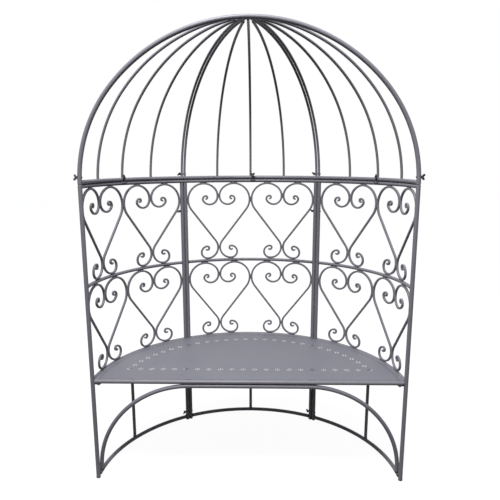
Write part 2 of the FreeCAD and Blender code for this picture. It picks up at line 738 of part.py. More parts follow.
brackets = [seat_bracket("seat_bracket_%s" % name, front_bracket_place(side, POST_X), POST_X - SEAT_BOLT_X)
            for name, side in (("right_front", 1), ("left_front", -1))]
brackets += [seat_bracket("seat_bracket_%s" % name, rear_bracket_place(angle, RADIUS), RADIUS - SEAT_ARC)
             for name, angle in zip(("right_rear", "left_rear"), MIDDLE_POSTS)]
export(together("seat_brackets", brackets))


# Front brace: an arch of tube from floor rail to floor rail under the bench's front

BRACE_TOP_Z = SEAT_TUBE_Z - SEAT_R - WELD - FRAME_R
BRACE_REACH = BOTTOM_ARC - size("brace_inset")
BRACE_FOOT_Z = BOTTOM_RAIL_Z + FRAME_R - SADDLE
BRACE_LEAN = math.degrees(math.atan(size("brace_lean") / (BRACE_TOP_Z - BRACE_FOOT_Z)))
BRACE_DROP = (BRACE_TOP_Z - BRACE_FOOT_Z) / math.cos(math.radians(BRACE_LEAN))
BRACE_CORNER = BRACE_DROP - size("brace_leg") - SADDLE - size("collar_height")
BRACE_FLAT = BRACE_REACH - BRACE_CORNER


def on_brace(across, down, turn=Rotation()):
    """Placement in the brace's leaning plane, with local X across and local Y up along the plane."""
    lean = Rotation(Vector(1, 0, 0), 90 + BRACE_LEAN)
    return at(0, FRONT_Y, BRACE_TOP_Z, lean).multiply(Placement(Vector(across, -down, 0), turn))


brace_runs = [prism("brace_flat", "$frame_tube/2", "%.6f" % (2 * BRACE_FLAT),
                    on_brace(-BRACE_FLAT, 0, OUTWARD), "frame_sides")]
for name, side, start in (("right", 1, 0), ("left", -1, 90)):
    bend_middle = on_brace(side * BRACE_FLAT, BRACE_CORNER, Rotation(UP, start))
    leg_end = on_brace(side * BRACE_REACH, BRACE_CORNER + size("brace_leg"), ALONG_ARC)
    brace_runs.append(bent("brace_%s_corner" % name, "%.6f" % BRACE_CORNER, "$frame_tube/2", 90,
                           "frame_sides", bend_middle))
    brace_runs.append(prism("brace_%s_leg" % name, "$frame_tube/2", "$brace_leg", leg_end, "frame_sides"))
brace_bar = add("Part::MultiFuse", "front_brace_bar")
brace_bar.Shapes = brace_runs


def brace_peg(label, side, radius, low, high):
    """Round bar along a brace leg, between two heights along the leg over its foot."""
    foot = on_brace(side * BRACE_REACH, BRACE_DROP - low, ALONG_ARC)
    return rod(label, radius, "%.6f" % (high - low), foot)


def peg_with_collar(name, side):
    """Peg up the brace's leg with the collar that the leg stands on, saddled to the floor rail."""
    pin = brace_peg("brace_peg_%s_pin" % name, side, "$peg_tube/2", 0, PEG_TOP)
    collar = brace_peg("brace_peg_%s_collar" % name, side, "$collar_diameter/2", 0, COLLAR_TOP)
    bar = add("Part::Fuse", "brace_peg_%s_bar" % name)
    bar.Base = collar
    bar.Tool = pin
    return cut("brace_peg_%s" % name, bar, [floor_rails])


floor_rails = rolled("brace_foot_saddle", "%.6f" % BOTTOM_ARC, "$frame_tube/2 + $weld_gap", 0, 180,
                     BOTTOM_RAIL_Z)
COLLAR_TOP = SADDLE + size("collar_height") - WELD
PEG_TOP = size("peg_height") + SADDLE
sides = (("right", 1), ("left", -1))
sockets = [brace_peg("brace_socket_%s" % name, side, "$peg_tube/2 + $peg_fit", 0, PEG_TOP + WELD)
           for name, side in sides]
export(cut("front_brace", brace_bar, sockets))
export(together("brace_pegs", [peg_with_collar(name, side) for name, side in sides]))


# Foot caps: glides with a stem up the post, cut flat where two posts stand side by side

cap = doc.addObject("PartDesign::Body", "foot_cap_master")
cap_sketch = cap.newObject("Sketcher::SketchObject", "foot_cap_profile")
cap_sketch.AttachmentSupport = [
    (plane, "") for plane in cap.Origin.OriginFeatures if plane.Role == "XZ_Plane"]
cap_sketch.MapMode = "FlatFace"
cap_radius, cap_height, chamfer = size("cap_diameter") / 2, size("cap_height"), size("cap_chamfer")
stem, stem_top = size("cap_stem") / 2, size("cap_height") + size("cap_stem_length")
profile = [(0, 0), (cap_radius - chamfer, 0), (cap_radius, chamfer), (cap_radius, cap_height),
           (stem, cap_height), (stem, stem_top), (0, stem_top), (0, 0)]
for begin, finish in zip(profile, profile[1:]):
    cap_sketch.addGeometry(Part.LineSegment(Vector(*begin, 0), Vector(*finish, 0)), False)
cap_turn = cap.newObject("PartDesign::Revolution", "foot_cap_revolution")
cap_turn.Profile = cap_sketch
cap_turn.ReferenceAxis = (cap_sketch, ["V_Axis"])
cap_turn.Angle = 360
doc.recompute()
flat_box = add("Part::Box", "foot_cap_flat", Length="2*$cap_diameter", Width="$cap_diameter",
               Height="$cap_height + $face_gap")
flat_box.Placement = Placement(Vector(-2 * cap_radius, POST_OFFSET - FACE, 0), Rotation())
flat_cap = cut("foot_cap_flat_master", cap, [flat_box])
doc.recompute()

front_caps = [on_arc(angle, RADIUS, 0) for angle in (POST_ANGLE, 3 * SPAN - POST_ANGLE)]
rear_caps = []
for boundary in (SPAN, 2 * SPAN):
    rear_caps.append(on_arc(boundary - POST_ANGLE, RADIUS, 0))
    rear_caps.append(on_arc(boundary + POST_ANGLE, RADIUS, 0, Rotation(UP, 180)))
caps = add("Part::Feature", "foot_caps")
cap_solids = []
for master, places in ((cap, front_caps), (flat_cap, rear_caps)):
    for place in places:
        solid = master.Shape.copy()
        solid.Placement = place
        cap_solids.append(solid)
caps.Shape = Part.makeCompound(cap_solids)
export(caps)


# Spigots that join the front arch to the front posts

ARCH_SET = DOME_SHOULDER * (1 - math.cos(math.asin((ARCH_BOLT_Z - DOME_BASE_Z) / DOME_SHOULDER)))
FRONT_ANGLES = (POST_ANGLE, 3 * SPAN - POST_ANGLE)
spigots = []
for name, angle in zip(("right", "left"), FRONT_ANGLES):
    bar = rod("arch_spigot_%s_bar" % name, "$spigot_diameter/2", "2*$spigot_reach",
              on_arc(angle, RADIUS, ROOF_SEAM_Z - size("spigot_reach")))
    bore = bolt_bore("arch_spigot_%s_bore" % name, on_arc(angle, RADIUS, ARCH_BOLT_Z, OUTWARD))
    spigots.append(cut("arch_spigot_%s" % name, bar, [bore]))
export(together("arch_spigots", spigots))


# Clamps at the seam between panel top rails and roof rails

CLAMP_ARC = RADIUS - size("clamp_offset")
CLAMP_INNER = CLAMP_ARC - size("clamp_reach")
CLAMP_ANGLES = (SPAN / 2, 3 * SPAN / 2 - size("clamp_shift"), 5 * SPAN / 2)
TAB_BOTTOM = ROOF_SEAM_Z - size("clamp_tab_height")
TAB_REACH = RADIUS - FACE - SADDLE - CLAMP_INNER
PLATE_REACH = RADIUS - size("clamp_plate_end") - CLAMP_INNER
PLATE_BOTTOM = ROOF_RAIL_TOP - size("clamp_plate_drop")
PLATE_TOP = PLATE_BOTTOM + size("clamp_plate_thickness")


def clamp_plate(label, angle, bottom, reach, width, height, saddle):
    """Small plate on the inner side of a rail, shaped to it and bored for the clamp's bolt."""
    plate = add("Part::Box", label + "_plate", Length="%.6f" % reach, Width=width, Height=height)
    doc.recompute()
    middle = Placement(Vector(0, -plate.Width.Value / 2, 0), Rotation())
    plate.Placement = on_arc(angle, CLAMP_INNER, bottom).multiply(middle)
    bore = bolt_bore(label + "_bore", on_arc(angle, CLAMP_ARC, bottom))
    return cut(label, plate, [saddle, bore])


tabs = []
plates = []
for n, angle in enumerate(CLAMP_ANGLES, start=1):
    lower = rail_saddle("clamp_tab_%d_saddle" % n, RADIUS, "$top_rail_tube/2", angle, TOP_RAIL_Z)
    upper = rail_saddle("clamp_plate_%d_saddle" % n, RADIUS, "$frame_tube/2", angle, ROOF_RAIL_Z)
    tabs.append(clamp_plate("clamp_tab_%d" % n, angle, TAB_BOTTOM, TAB_REACH,
                            "$clamp_tab_width", "$clamp_tab_height", lower))
    plates.append(clamp_plate("clamp_plate_%d" % n, angle, PLATE_BOTTOM, PLATE_REACH,
                              "$clamp_plate_width", "$clamp_plate_thickness", upper))
export(together("rail_clamps", tabs + plates))


# Bolts and wing nuts

def bolt_master(label, length):
    """Headed bolt along Z, with the head's underside at height 0."""
    head = prism(label + "_head", "$bolt_head/2", "$bolt_head_height",
                 Placement(Vector(0, 0, -size("bolt_head_height")), Rotation()), "bolt_sides")
    shank = prism(label + "_shank", "$bolt_diameter/2", "%.6f" % length, Placement(), "bolt_sides")
    master = add("Part::Fuse", label)
    master.Base = head
    master.Tool = shank
    doc.recompute()
    return master


NUT_HEIGHT = size("nut_height")
NUT_SET = FACE + NUT_HEIGHT + size("bolt_tail")


def wing_nut_master():
    """Wing nut along Z, with its bearing face at height 0."""
    half, rise, tip = size("nut_span") / 2, size("nut_wing_rise"), size("nut_wing_tip")
    hub, root = size("nut_hub") / 2, size("nut_wing_root")
    inset = hub - root / 2
    side = [(inset, root), (half, NUT_HEIGHT), (half, rise), (half - tip, rise), (inset, NUT_HEIGHT)]
    outline = side + [(-x, z) for x, z in reversed(side)]
    depth = size("nut_wing_thickness")
    points = [Vector(x, -depth / 2, z) for x, z in outline + outline[:1]]
    wings = add("Part::Feature", "wing_nut_wings")
    wings.Shape = Part.Face(Part.makePolygon(points)).extrude(Vector(0, depth, 0))
    barrel = prism("wing_nut_barrel", "$nut_hub/2", "$nut_height", Placement(), "bolt_sides")
    solid = add("Part::Fuse", "wing_nut_solid")
    solid.Base = barrel
    solid.Tool = wings
    bore = prism("wing_nut_bore", "$bolt_diameter/2 + $bolt_fit", "%.6f" % (3 * NUT_HEIGHT),
                 Placement(Vector(0, 0, -NUT_HEIGHT), Rotation()), "bolt_sides")
    nut = cut("wing_nut_master", solid, [bore])
    doc.recompute()
    return nut


def along(place, distance, turn=0):
    """Placement moved along its own local Z and turned about it."""
    return place.multiply(Placement(Vector(0, 0, distance), Rotation(UP, turn)))


nut_places = []


def bolt_group(label, places, grip, nut_turns=()):
    """One node of like bolts, each with its head's underside at its place, and their wing nuts."""
    length = grip + NUT_SET if nut_turns else grip
    copies(label, bolt_master(label + "_master", length), places)
    nut_places.extend(along(place, grip + FACE, turn) for place, turn in zip(places, nut_turns))


post_half = POST_OFFSET + FRAME_R + FACE
post_bolts = [along(on_arc(boundary, RADIUS, size(level + "_bolt_height"), ALONG_ARC), -post_half)
              for boundary in (SPAN, 2 * SPAN) for level in ("upper", "lower")]
bolt_group("post_bolts", post_bolts, 2 * post_half - FACE, len(post_bolts) * [size("post_nut_turn")])

rib_half = EDGE_OFFSET + THIN_R + FACE
rib_bolts = [along(on_arc(boundary, RADIUS, RIB_BOLT_Z, ALONG_ARC), -rib_half)
             for boundary in (SPAN, 2 * SPAN)]
bolt_group("rib_bolts", rib_bolts, 2 * rib_half - FACE, len(rib_bolts) * [size("post_nut_turn")])

arch_half = FRAME_R + size("arch_bolt_gap")
arch_bolts = [along(on_arc(angle, RADIUS - ARCH_SET, ARCH_BOLT_Z, OUTWARD), -arch_half)
              for angle in FRONT_ANGLES]
bolt_group("arch_bolts", arch_bolts, 2 * arch_half - FACE, len(arch_bolts) * [size("post_nut_turn")])

clamp_bolts = [on_arc(angle, CLAMP_ARC, TAB_BOTTOM - FACE) for angle in CLAMP_ANGLES]
clamp_turn = size("clamp_nut_turn")
bolt_group("rail_clamp_bolts", clamp_bolts, PLATE_TOP - TAB_BOTTOM + FACE, (clamp_turn, 90, -clamp_turn))

seat_bolts = [along(place, -size("bracket_thickness") - FACE) for place in SEAT_BOLT_PLACES]
bolt_group("seat_bolts", seat_bolts, size("bracket_thickness") + FACE + size("seat_bolt_depth"))

copies("wing_nuts", wing_nut_master(), nut_places)


# Checks and export

doc.recompute()
for piece in doc.Objects:
    if "Invalid" in piece.State or "Error" in piece.State:
        raise RuntimeError("%s did not build" % piece.Label)
for label, piece in nodes.items():
    shape = piece.Shape
    if shape.isNull() or not shape.isValid() or not shape.Solids:
        raise RuntimeError("%s is not a sound solid" % label)

os.makedirs("parts", exist_ok=True)
for label, piece in nodes.items():
    piece.Shape.exportStep("parts/%s.step" % label)
print("%d nodes" % len(nodes))
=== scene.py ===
"""Looks of a half-round steel arbour seat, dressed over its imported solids.

Lengths are in metres and angles in degrees unless a name says otherwise. Tubes are given by their radius.
The half circle has a frame of its own: its centre is on the ground in the middle of the front edge, X
is to the right of a person who looks in, and Y goes towards the curved back.
"""

from __future__ import annotations

import json
import logging
import math
from collections.abc import Sequence
from dataclasses import dataclass, field
from enum import Enum

import bpy
from mathutils import Matrix, Vector

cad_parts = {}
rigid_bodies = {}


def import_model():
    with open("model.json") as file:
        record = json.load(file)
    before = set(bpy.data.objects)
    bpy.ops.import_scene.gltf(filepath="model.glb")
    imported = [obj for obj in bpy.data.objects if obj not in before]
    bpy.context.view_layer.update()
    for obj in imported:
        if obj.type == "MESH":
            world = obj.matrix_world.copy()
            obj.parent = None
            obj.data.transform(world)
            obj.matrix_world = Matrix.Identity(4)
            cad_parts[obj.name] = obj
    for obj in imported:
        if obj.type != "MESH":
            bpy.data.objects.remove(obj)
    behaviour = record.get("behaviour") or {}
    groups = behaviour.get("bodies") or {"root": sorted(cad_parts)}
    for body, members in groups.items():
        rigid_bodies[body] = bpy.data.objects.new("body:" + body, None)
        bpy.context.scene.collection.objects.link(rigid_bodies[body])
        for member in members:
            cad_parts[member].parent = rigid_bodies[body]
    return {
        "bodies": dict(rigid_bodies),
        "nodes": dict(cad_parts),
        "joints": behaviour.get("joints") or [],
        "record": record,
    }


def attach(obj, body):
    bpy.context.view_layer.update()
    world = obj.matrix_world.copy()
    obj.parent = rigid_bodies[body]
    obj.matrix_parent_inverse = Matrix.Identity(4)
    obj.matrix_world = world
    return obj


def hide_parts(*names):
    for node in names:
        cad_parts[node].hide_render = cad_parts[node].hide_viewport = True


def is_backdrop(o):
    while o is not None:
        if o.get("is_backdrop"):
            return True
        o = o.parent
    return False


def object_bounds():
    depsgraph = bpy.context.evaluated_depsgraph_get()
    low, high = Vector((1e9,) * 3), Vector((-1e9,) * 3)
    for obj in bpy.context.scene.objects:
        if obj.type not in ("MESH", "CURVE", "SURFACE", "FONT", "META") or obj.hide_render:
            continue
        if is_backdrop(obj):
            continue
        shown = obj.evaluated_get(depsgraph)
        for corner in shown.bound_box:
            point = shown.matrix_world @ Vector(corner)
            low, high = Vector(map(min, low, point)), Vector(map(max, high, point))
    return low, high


Thing = bpy.types.Object
Tree = bpy.types.NodeTree
Socket = bpy.types.NodeSocket
Pair = tuple[float, float]

log = logging.getLogger("arbour")
MM = 0.001
UP = Vector((0, 0, 1))
END_EASE = 0.6 * MM
BODY = "root"
PANELS = ("right", "middle", "left")


# Placements


def turn(angle: float, axis: str | Vector = "Z") -> Matrix:
    """Turn about an axis through the origin."""
    return Matrix.Rotation(math.radians(angle), 4, axis)


def shift(x: float = 0.0, y: float = 0.0, z: float = 0.0) -> Matrix:
    """Shift along the three axes."""
    return Matrix.Translation((x, y, z))


def ray(angle: float) -> Vector:
    """Unit vector at an angle in the XY plane."""
    return Vector((math.cos(math.radians(angle)), math.sin(math.radians(angle)), 0))


def angle_across(distance: float, radius: float) -> float:
    """Angle at which the end of a radius is a distance to the side."""
    return math.degrees(math.asin(distance / radius))


@dataclass(frozen=True)
class HalfRound:
    """Driving sizes that the sub-assemblies share.

    The weld gap is the space between welded pieces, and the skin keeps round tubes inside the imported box.
    """

    radius: float = 700 * MM
    panel_angle: float = 60.0
    post_offset: float = 10 * MM
    frame_tube: float = 9.5 * MM
    top_rail_tube: float = 8 * MM
    thin_tube: float = 6 * MM
    rib_pair_gap: float = 3.2 * MM
    seat_front_z: float = 478 * MM
    seat_back_z: float = 476.1 * MM
    seat_back_arc: float = 680.5 * MM
    weld_gap: float = 0.3 * MM
    skin: float = 0.002 * MM
    joint_ease: float = 2 * MM
    shift_y: float = -354.25 * MM
    seat_rail_top: float = 490.5 * MM
    heart_row: float = 413 * MM
    bottom_rail_z: float = 20 * MM
    bottom_rail_inset: float = 6 * MM

    @property
    def post_angle(self) -> float:
        """Plan angle between a panel boundary and the post beside it."""
        return angle_across(self.post_offset, self.radius)

    @property
    def seat_rail_z(self) -> float:
        """Height of the seat rails' centre line."""
        return self.seat_rail_top - self.frame_tube

    @property
    def middle_rail_z(self) -> float:
        """Height of the middle rails' centre line."""
        return self.seat_rail_top + self.heart_row + self.top_rail_tube

    @property
    def upper_row_z(self) -> float:
        """Height of the middle rails' top, on which the upper hearts stand."""
        return self.middle_rail_z + self.top_rail_tube

    @property
    def top_rail_z(self) -> float:
        """Height of the panel top rails' centre line."""
        return self.upper_row_z + self.heart_row + self.top_rail_tube

    @property
    def seam_z(self) -> float:
        """Height of the seam between the panels and the roof."""
        return self.top_rail_z + self.top_rail_tube

    @property
    def roof_rail_z(self) -> float:
        """Height of the roof base rails' centre line."""
        return self.seam_z + self.weld_gap + self.frame_tube

    def post_angles(self, panel: int) -> Pair:
        """Plan angles of a panel's first and last post."""
        start = panel * self.panel_angle
        return start + self.post_angle, start + self.panel_angle - self.post_angle

    def at(self, x: float, y: float, z: float) -> Vector:
        """Point of the half circle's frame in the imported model's frame."""
        return Vector((x, y + self.shift_y, z))

    def on_arc(self, angle: float, radius: float, z: float) -> Matrix:
        """Placement at a plan angle from the right front corner, with X outward and Y along the arc."""
        return Matrix.Translation(self.at(*(turn(angle) @ Vector((radius, 0, z))))) @ turn(angle)


# Colours and finishes


def linear(hex_colour: str) -> tuple[float, float, float, float]:
    """Turn an sRGB hex colour into linear values.

    Args:
        hex_colour: Six hex digits.

    Returns:
        Linear red, green and blue with full alpha.
    """
    parts = [int(hex_colour[i : i + 2], 16) / 255 for i in (0, 2, 4)]
    values = [c / 12.92 if c <= 0.04045 else ((c + 0.055) / 1.055) ** 2.4 for c in parts]
    return (*values, 1.0)


def add_node(tree: Tree, kind: str, settings: dict | None = None) -> bpy.types.Node:
    """Add one shader node with its settings and links.

    Args:
        tree: Node tree that gets the node.
        kind: Blender's node type name.
        settings: Plain values and linked sockets, by a property's name or an input's name or number.

    Returns:
        The new node.
    """
    node = tree.nodes.new(kind)
    for key, value in (settings or {}).items():
        if isinstance(key, str) and key not in node.inputs:
            setattr(node, key, value)
        elif isinstance(value, Socket):
            tree.links.new(value, node.inputs[key])
        else:
            node.inputs[key].default_value = value
    return node


def fresh_tree(owner: bpy.types.Material | bpy.types.World) -> Tree:
    """Give a material or world an empty node tree.

    Args:
        owner: The material or world.

    Returns:
        Its node tree.
    """
    owner.use_nodes = True
    owner.node_tree.nodes.clear()
    return owner.node_tree


class Slot(Enum):
    """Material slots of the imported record."""

    TUBE = "tube_paint"
    SEAT = "seat_paint"
    FASTENER = "fastener_steel"
    CAP = "cap_plastic"
    PEG = "peg_rubber"


@dataclass(frozen=True)
class Groove:
    """The seat's junction line: a shallow groove along its outline at an even distance, with painted shade in
    it.
    """

    shape: HalfRound = HalfRound()
    inset: float = 19 * MM
    half_width: float = 2.4 * MM
    depth: float = 0.5 * MM
    strength: float = 0.7
    # Painted shade: the dark colour that the groove's hollow is mixed toward.
    shade: str = "38373C"

    def press(self, tree: Tree, place: Socket, colour: Socket, normal: Socket) -> tuple[Socket, Socket]:
        """Press the groove into a surface and darken its hollow with painted shade.

        Args:
            tree: Node tree of the surface.
            place: Object coordinates.
            colour, normal: The surface's sockets before the groove.

        Returns:
            The colour and normal sockets with the groove in them.
        """
        shape = self.shape
        level = {"operation": "MULTIPLY_ADD", 0: place, 1: (1, 1, 0), 2: (0, -shape.shift_y, 0)}
        plan = add_node(tree, "ShaderNodeVectorMath", level).outputs["Vector"]
        value = add_node(tree, "ShaderNodeVectorMath", {"operation": "LENGTH", 0: plan}).outputs["Value"]
        across = add_node(tree, "ShaderNodeSeparateXYZ", {"Vector": plan}).outputs["Y"]
        behind = {"operation": "SUBTRACT", 0: across, 1: shape.post_offset - shape.frame_tube}
        from_front = add_node(tree, "ShaderNodeMath", behind).outputs["Value"]
        steps = (
            ("SUBTRACT", shape.seat_back_arc + shape.frame_tube),
            ("MULTIPLY", -1.0),
            ("MINIMUM", from_front),
            ("SUBTRACT", self.inset),
            ("ABSOLUTE", 0.0),
        )
        for operation, second in steps:
            step = {"operation": operation, 0: value, 1: second}
            value = add_node(tree, "ShaderNodeMath", step).outputs["Value"]
        # The groove's profile sets its bump and also mixes painted shade into its colour.
        fall = {"Value": value, "From Max": self.half_width, "To Min": 1.0, "To Max": 0.0}
        fade = add_node(tree, "ShaderNodeMapRange", fall).outputs["Result"]
        # A Mix node's colours are its inputs 6 and 7 and its output 2.
        mix = {"data_type": "RGBA", 0: fade, 6: colour, 7: linear(self.shade)}
        hollow = {"Strength": self.strength, "Distance": self.depth, "invert": True}
        bump = add_node(tree, "ShaderNodeBump", {**hollow, "Height": fade, "Normal": normal})
        return add_node(tree, "ShaderNodeMix", mix).outputs[2], bump.outputs["Normal"]


@dataclass(frozen=True)
class Finish:
    """A painted or moulded surface with a soft sheen, a slow drift of colour and a fine grain."""

    name: str
    colour: str
    drift_colour: str
    roughness: float
    roughness_spread: float
    drift_size: float
    grain_size: float
    grain_height: float
    grain_strength: float = 0.2
    drift_range: Pair = (0.35, 0.65)
    sheen: float = 0.3
    groove: Groove | None = None

    def build(self) -> bpy.types.Material:
        """Make the material.

        Returns:
            A material with a procedural colour, roughness and bump.
        """
        material = bpy.data.materials.new(self.name)
        tree = fresh_tree(material)
        place = add_node(tree, "ShaderNodeTexCoord").outputs["Object"]
        noises = []
        for size, detail in ((self.drift_size, 2.0), (self.grain_size, 1.0)):
            noise = {"Vector": place, "Scale": 1 / size, "Detail": detail}
            noises.append(add_node(tree, "ShaderNodeTexNoise", noise).outputs["Fac"])
        drift, grain = noises
        ramp = add_node(tree, "ShaderNodeValToRGB", {"Fac": drift})
        for stop, position, shade in zip((0, 1), self.drift_range, (self.drift_colour, self.colour)):
            ramp.color_ramp.elements[stop].position = position
            ramp.color_ramp.elements[stop].color = linear(shade)
        low, high = self.roughness - self.roughness_spread, self.roughness + self.roughness_spread
        spread = add_node(tree, "ShaderNodeMapRange", {"Value": drift, "To Min": low, "To Max": high})
        peel = {"Strength": self.grain_strength, "Distance": self.grain_height, "Height": grain}
        colour, normal = ramp.outputs["Color"], add_node(tree, "ShaderNodeBump", peel).outputs["Normal"]
        if self.groove is not None:
            colour, normal = self.groove.press(tree, place, colour, normal)
        coat = {
            "Specular IOR Level": self.sheen,
            "Base Color": colour,
            "Roughness": spread.outputs["Result"],
            "Normal": normal,
        }
        shader = add_node(tree, "ShaderNodeBsdfPrincipled", coat)
        add_node(tree, "ShaderNodeOutputMaterial", {"Surface": shader.outputs["BSDF"]})
        return material


FINISHES = {
    # Powder coat on bent tube: a dull, slightly mauve grey with fine orange peel.
    Slot.TUBE: Finish("powder_coated_tube", "77757D", "737179", 0.4, 0.03, 120 * MM, 3 * MM, 0.02 * MM),
    # The same coat on flat sheet, made darker as painted shade on its lit face, with the line where it meets
    # its rim.
    Slot.SEAT: Finish(
        "powder_coated_sheet", "6F6F77", "6B6B74", 0.55, 0.03, 250 * MM, 3 * MM, 0.02 * MM, groove=Groove()
    ),
    # Painted zinc die castings and bolt heads, darker and duller than the tube.
    Slot.FASTENER: Finish("painted_hardware", "343438", "2B2B2F", 0.45, 0.05, 20 * MM, 1.2 * MM, 0.03 * MM),
    # Moulded plastic in the colour of the paint, with a satin skin.
    Slot.CAP: Finish("moulded_plastic", "6A686F", "636168", 0.5, 0.04, 30 * MM, 1.5 * MM, 0.05 * MM),
    # Black rubber with a matt skin, its near-black partly painted shade for the gap at the brace's feet.
    Slot.PEG: Finish("moulded_rubber_and_painted_shade", "232326", "1C1C1F", 0.8, 0.04, 10 * MM, 1.2 * MM, 0.1 * MM),
}
# Painted shade: the tube's coat over the ripples of a weld, darkened for the crevices where the beads sit.
WELD_PAINTED_SHADE = Finish("weld_painted_shade", "38373C", "2D2C31", 0.6, 0.05, 10 * MM, 1.8 * MM, 0.2 * MM)


# Modelling by hand: profiles spun and extruded along their runs


def deselect() -> None:
    """Leave edit mode and select nothing."""
    if bpy.context.object and bpy.context.object.mode != "OBJECT":
        bpy.ops.object.mode_set(mode="OBJECT")
    bpy.ops.object.select_all(action="DESELECT")


def activate(thing: Thing) -> None:
    """Select one object alone and make it the active one.

    Args:
        thing: The object.
    """
    deselect()
    bpy.context.view_layer.objects.active = thing
    thing.select_set(True)


def edit_all() -> None:
    """Edit the active object with all of its mesh selected."""
    bpy.ops.object.mode_set(mode="EDIT")
    bpy.ops.mesh.select_all(action="SELECT")


def face_outward() -> None:
    """Turn every face of the edited mesh outward and leave edit mode."""
    bpy.ops.mesh.select_all(action="SELECT")
    bpy.ops.mesh.normals_make_consistent(inside=False)
    bpy.ops.object.mode_set(mode="OBJECT")


def named(thing: Thing, name: str) -> Thing:
    """Name an object and its mesh.

    Args:
        thing: The object.
        name: Its new name.

    Returns:
        The same object.
    """
    thing.name = name
    thing.data.name = name
    return thing


def placed(name: str, place: Matrix) -> Thing:
    """Name the primitive that was just added and move its place into its mesh.

    Args:
        name: Its name.
        place: Its placement.

    Returns:
        The primitive.
    """
    thing = named(bpy.context.object, name)
    thing.matrix_world = place
    activate(thing)
    bpy.ops.object.transform_apply(location=True, rotation=True, scale=True)
    return thing


def copy_to(master: Thing, place: Matrix) -> Thing:
    """Copy an object with a mesh of its own, and move that mesh to a place.

    Args:
        master: The object to copy.
        place: Placement of the copy, which may mirror it.

    Returns:
        The copy.
    """
    twin = master.copy()
    twin.data = master.data.copy()
    bpy.context.scene.collection.objects.link(twin)
    twin.data.transform(place)
    if place.determinant() < 0:
        twin.data.flip_normals()
    return twin


def remove(thing: Thing) -> None:
    """Delete a master that has served its copies."""
    bpy.data.objects.remove(thing, do_unlink=True)


def join(things: list[Thing], name: str) -> Thing:
    """Join objects into one.

    Args:
        things: Objects to join.
        name: Name of the joined object.

    Returns:
        The joined object.
    """
    activate(things[0])
    for thing in things:
        thing.select_set(True)
    if len(things) > 1:
        bpy.ops.object.join()
    return named(bpy.context.object, name)


class Run:
    """A tube or bar that starts as a profile and is bent and drawn out step by step."""

    def __init__(self, name: str, place: Matrix, radius: float, sides: int = 20) -> None:
        """Add the profile, a ring in the placement's XY plane, and enter edit mode.

        Args:
            name: Name of the finished object.
            place: Placement of the ring.
            radius: Radius of the ring.
            sides: Flats of the ring.
        """
        deselect()
        bpy.ops.mesh.primitive_circle_add(vertices=sides, radius=radius, fill_type="NOTHING")
        self.thing = placed(name, place)
        edit_all()

    def bend(self, centre: Vector, axis: Vector, angle: float, steps: int) -> Run:
        """Bend on about an axis.

        Args:
            centre: Point on the bending axis.
            axis: Direction of the axis; the turn is right-handed about it.
            angle: Turn in degrees.
            steps: Number of short lengths in the bend.

        Returns:
            This run, so that its steps read in order.
        """
        bpy.ops.mesh.spin(steps=steps, angle=-math.radians(angle), center=centre, axis=axis)
        return self

    def draw(self, step: Vector) -> Run:
        """Draw the run straight on by one step."""
        bpy.ops.mesh.extrude_region_move(TRANSFORM_OT_translate={"value": step})
        return self

    def scale_end(self, factor: float, centre: Vector) -> Run:
        """Shrink or widen the end ring about a point."""
        bpy.ops.transform.resize(value=(factor, factor, factor), center_override=centre)
        return self

    def close(self, smooth_angle: float = 40.0, merge: float = 0.001 * MM) -> Thing:
        """Close both ends, turn the faces outward and shade the run.

        Args:
            smooth_angle: Largest angle between faces that still shades smooth.
            merge: Distance within which points become one.

        Returns:
            The finished object.
        """
        bpy.ops.mesh.select_all(action="SELECT")
        bpy.ops.mesh.remove_doubles(threshold=merge)
        bpy.ops.mesh.fill_holes(sides=0)
        face_outward()
        bpy.ops.object.shade_smooth_by_angle(angle=math.radians(smooth_angle))
        return self.thing


def turned(name: str, foot: Matrix, profile: Sequence[Pair], sides: int = 24) -> Thing:
    """Model a turned piece from its profile.

    Args:
        name: Its name.
        foot: Placement of its foot; the profile goes up along Z.
        profile: Radius and height of each ring, from the foot up.
        sides: Flats of its rings.

    Returns:
        The piece.
    """
    up = (foot.to_3x3() @ UP).normalized()
    radius, height = profile[0]
    run = Run(name, foot @ shift(z=height), radius, sides)
    for next_radius, next_height in profile[1:]:
        run.draw(up * (next_height - height))
        run.scale_end(next_radius / radius, foot.translation + up * next_height)
        radius, height = next_radius, next_height
    return run.close()


def straight_tube(
    name: str, foot: Matrix, radius: float, length: float, sides: int = 28, top_ease: float = END_EASE
) -> Thing:
    """Model a straight round bar with eased ends.

    Args:
        name: Its name.
        foot: Placement of its foot; the bar goes up along Z.
        radius: Its radius.
        length: Its length.
        sides: Flats of its ring.
        top_ease: Rounding of its upper end.

    Returns:
        The bar.
    """
    low = [(radius - END_EASE, 0.0), (radius, END_EASE)]
    high = [(radius, length - top_ease), (radius - top_ease, length)]
    return turned(name, foot, low + high, sides)


def weld_ring(middle: Matrix, radius: float, bead: float = 1.5 * MM, proud: float = 0.2) -> Thing:
    """Lay a weld bead round a tube.

    Args:
        middle: Placement of the ring, with the tube along Z.
        radius: Radius of the tube.
        bead: Radius of the bead.
        proud: Share of the bead's radius by which its middle stands out of the tube.

    Returns:
        The bead.
    """
    deselect()
    bpy.ops.mesh.primitive_torus_add(
        major_segments=20, minor_segments=6, major_radius=radius + proud * bead, minor_radius=bead
    )
    ring = placed("bead", middle)
    bpy.ops.object.shade_smooth()
    return ring


def weld_bead(middle: Matrix, size: tuple[float, float, float]) -> Thing:
    """Lay one short weld bead, a lens of metal along a contact.

    Args:
        middle: Placement of its middle.
        size: Its half sizes along the placement's axes.

    Returns:
        The bead.
    """
    deselect()
    bpy.ops.mesh.primitive_uv_sphere_add(segments=12, ring_count=6, radius=1.0)
    bead = placed("bead", middle @ Matrix.Diagonal((*size, 1.0)))
    bpy.ops.object.shade_smooth()
    return bead


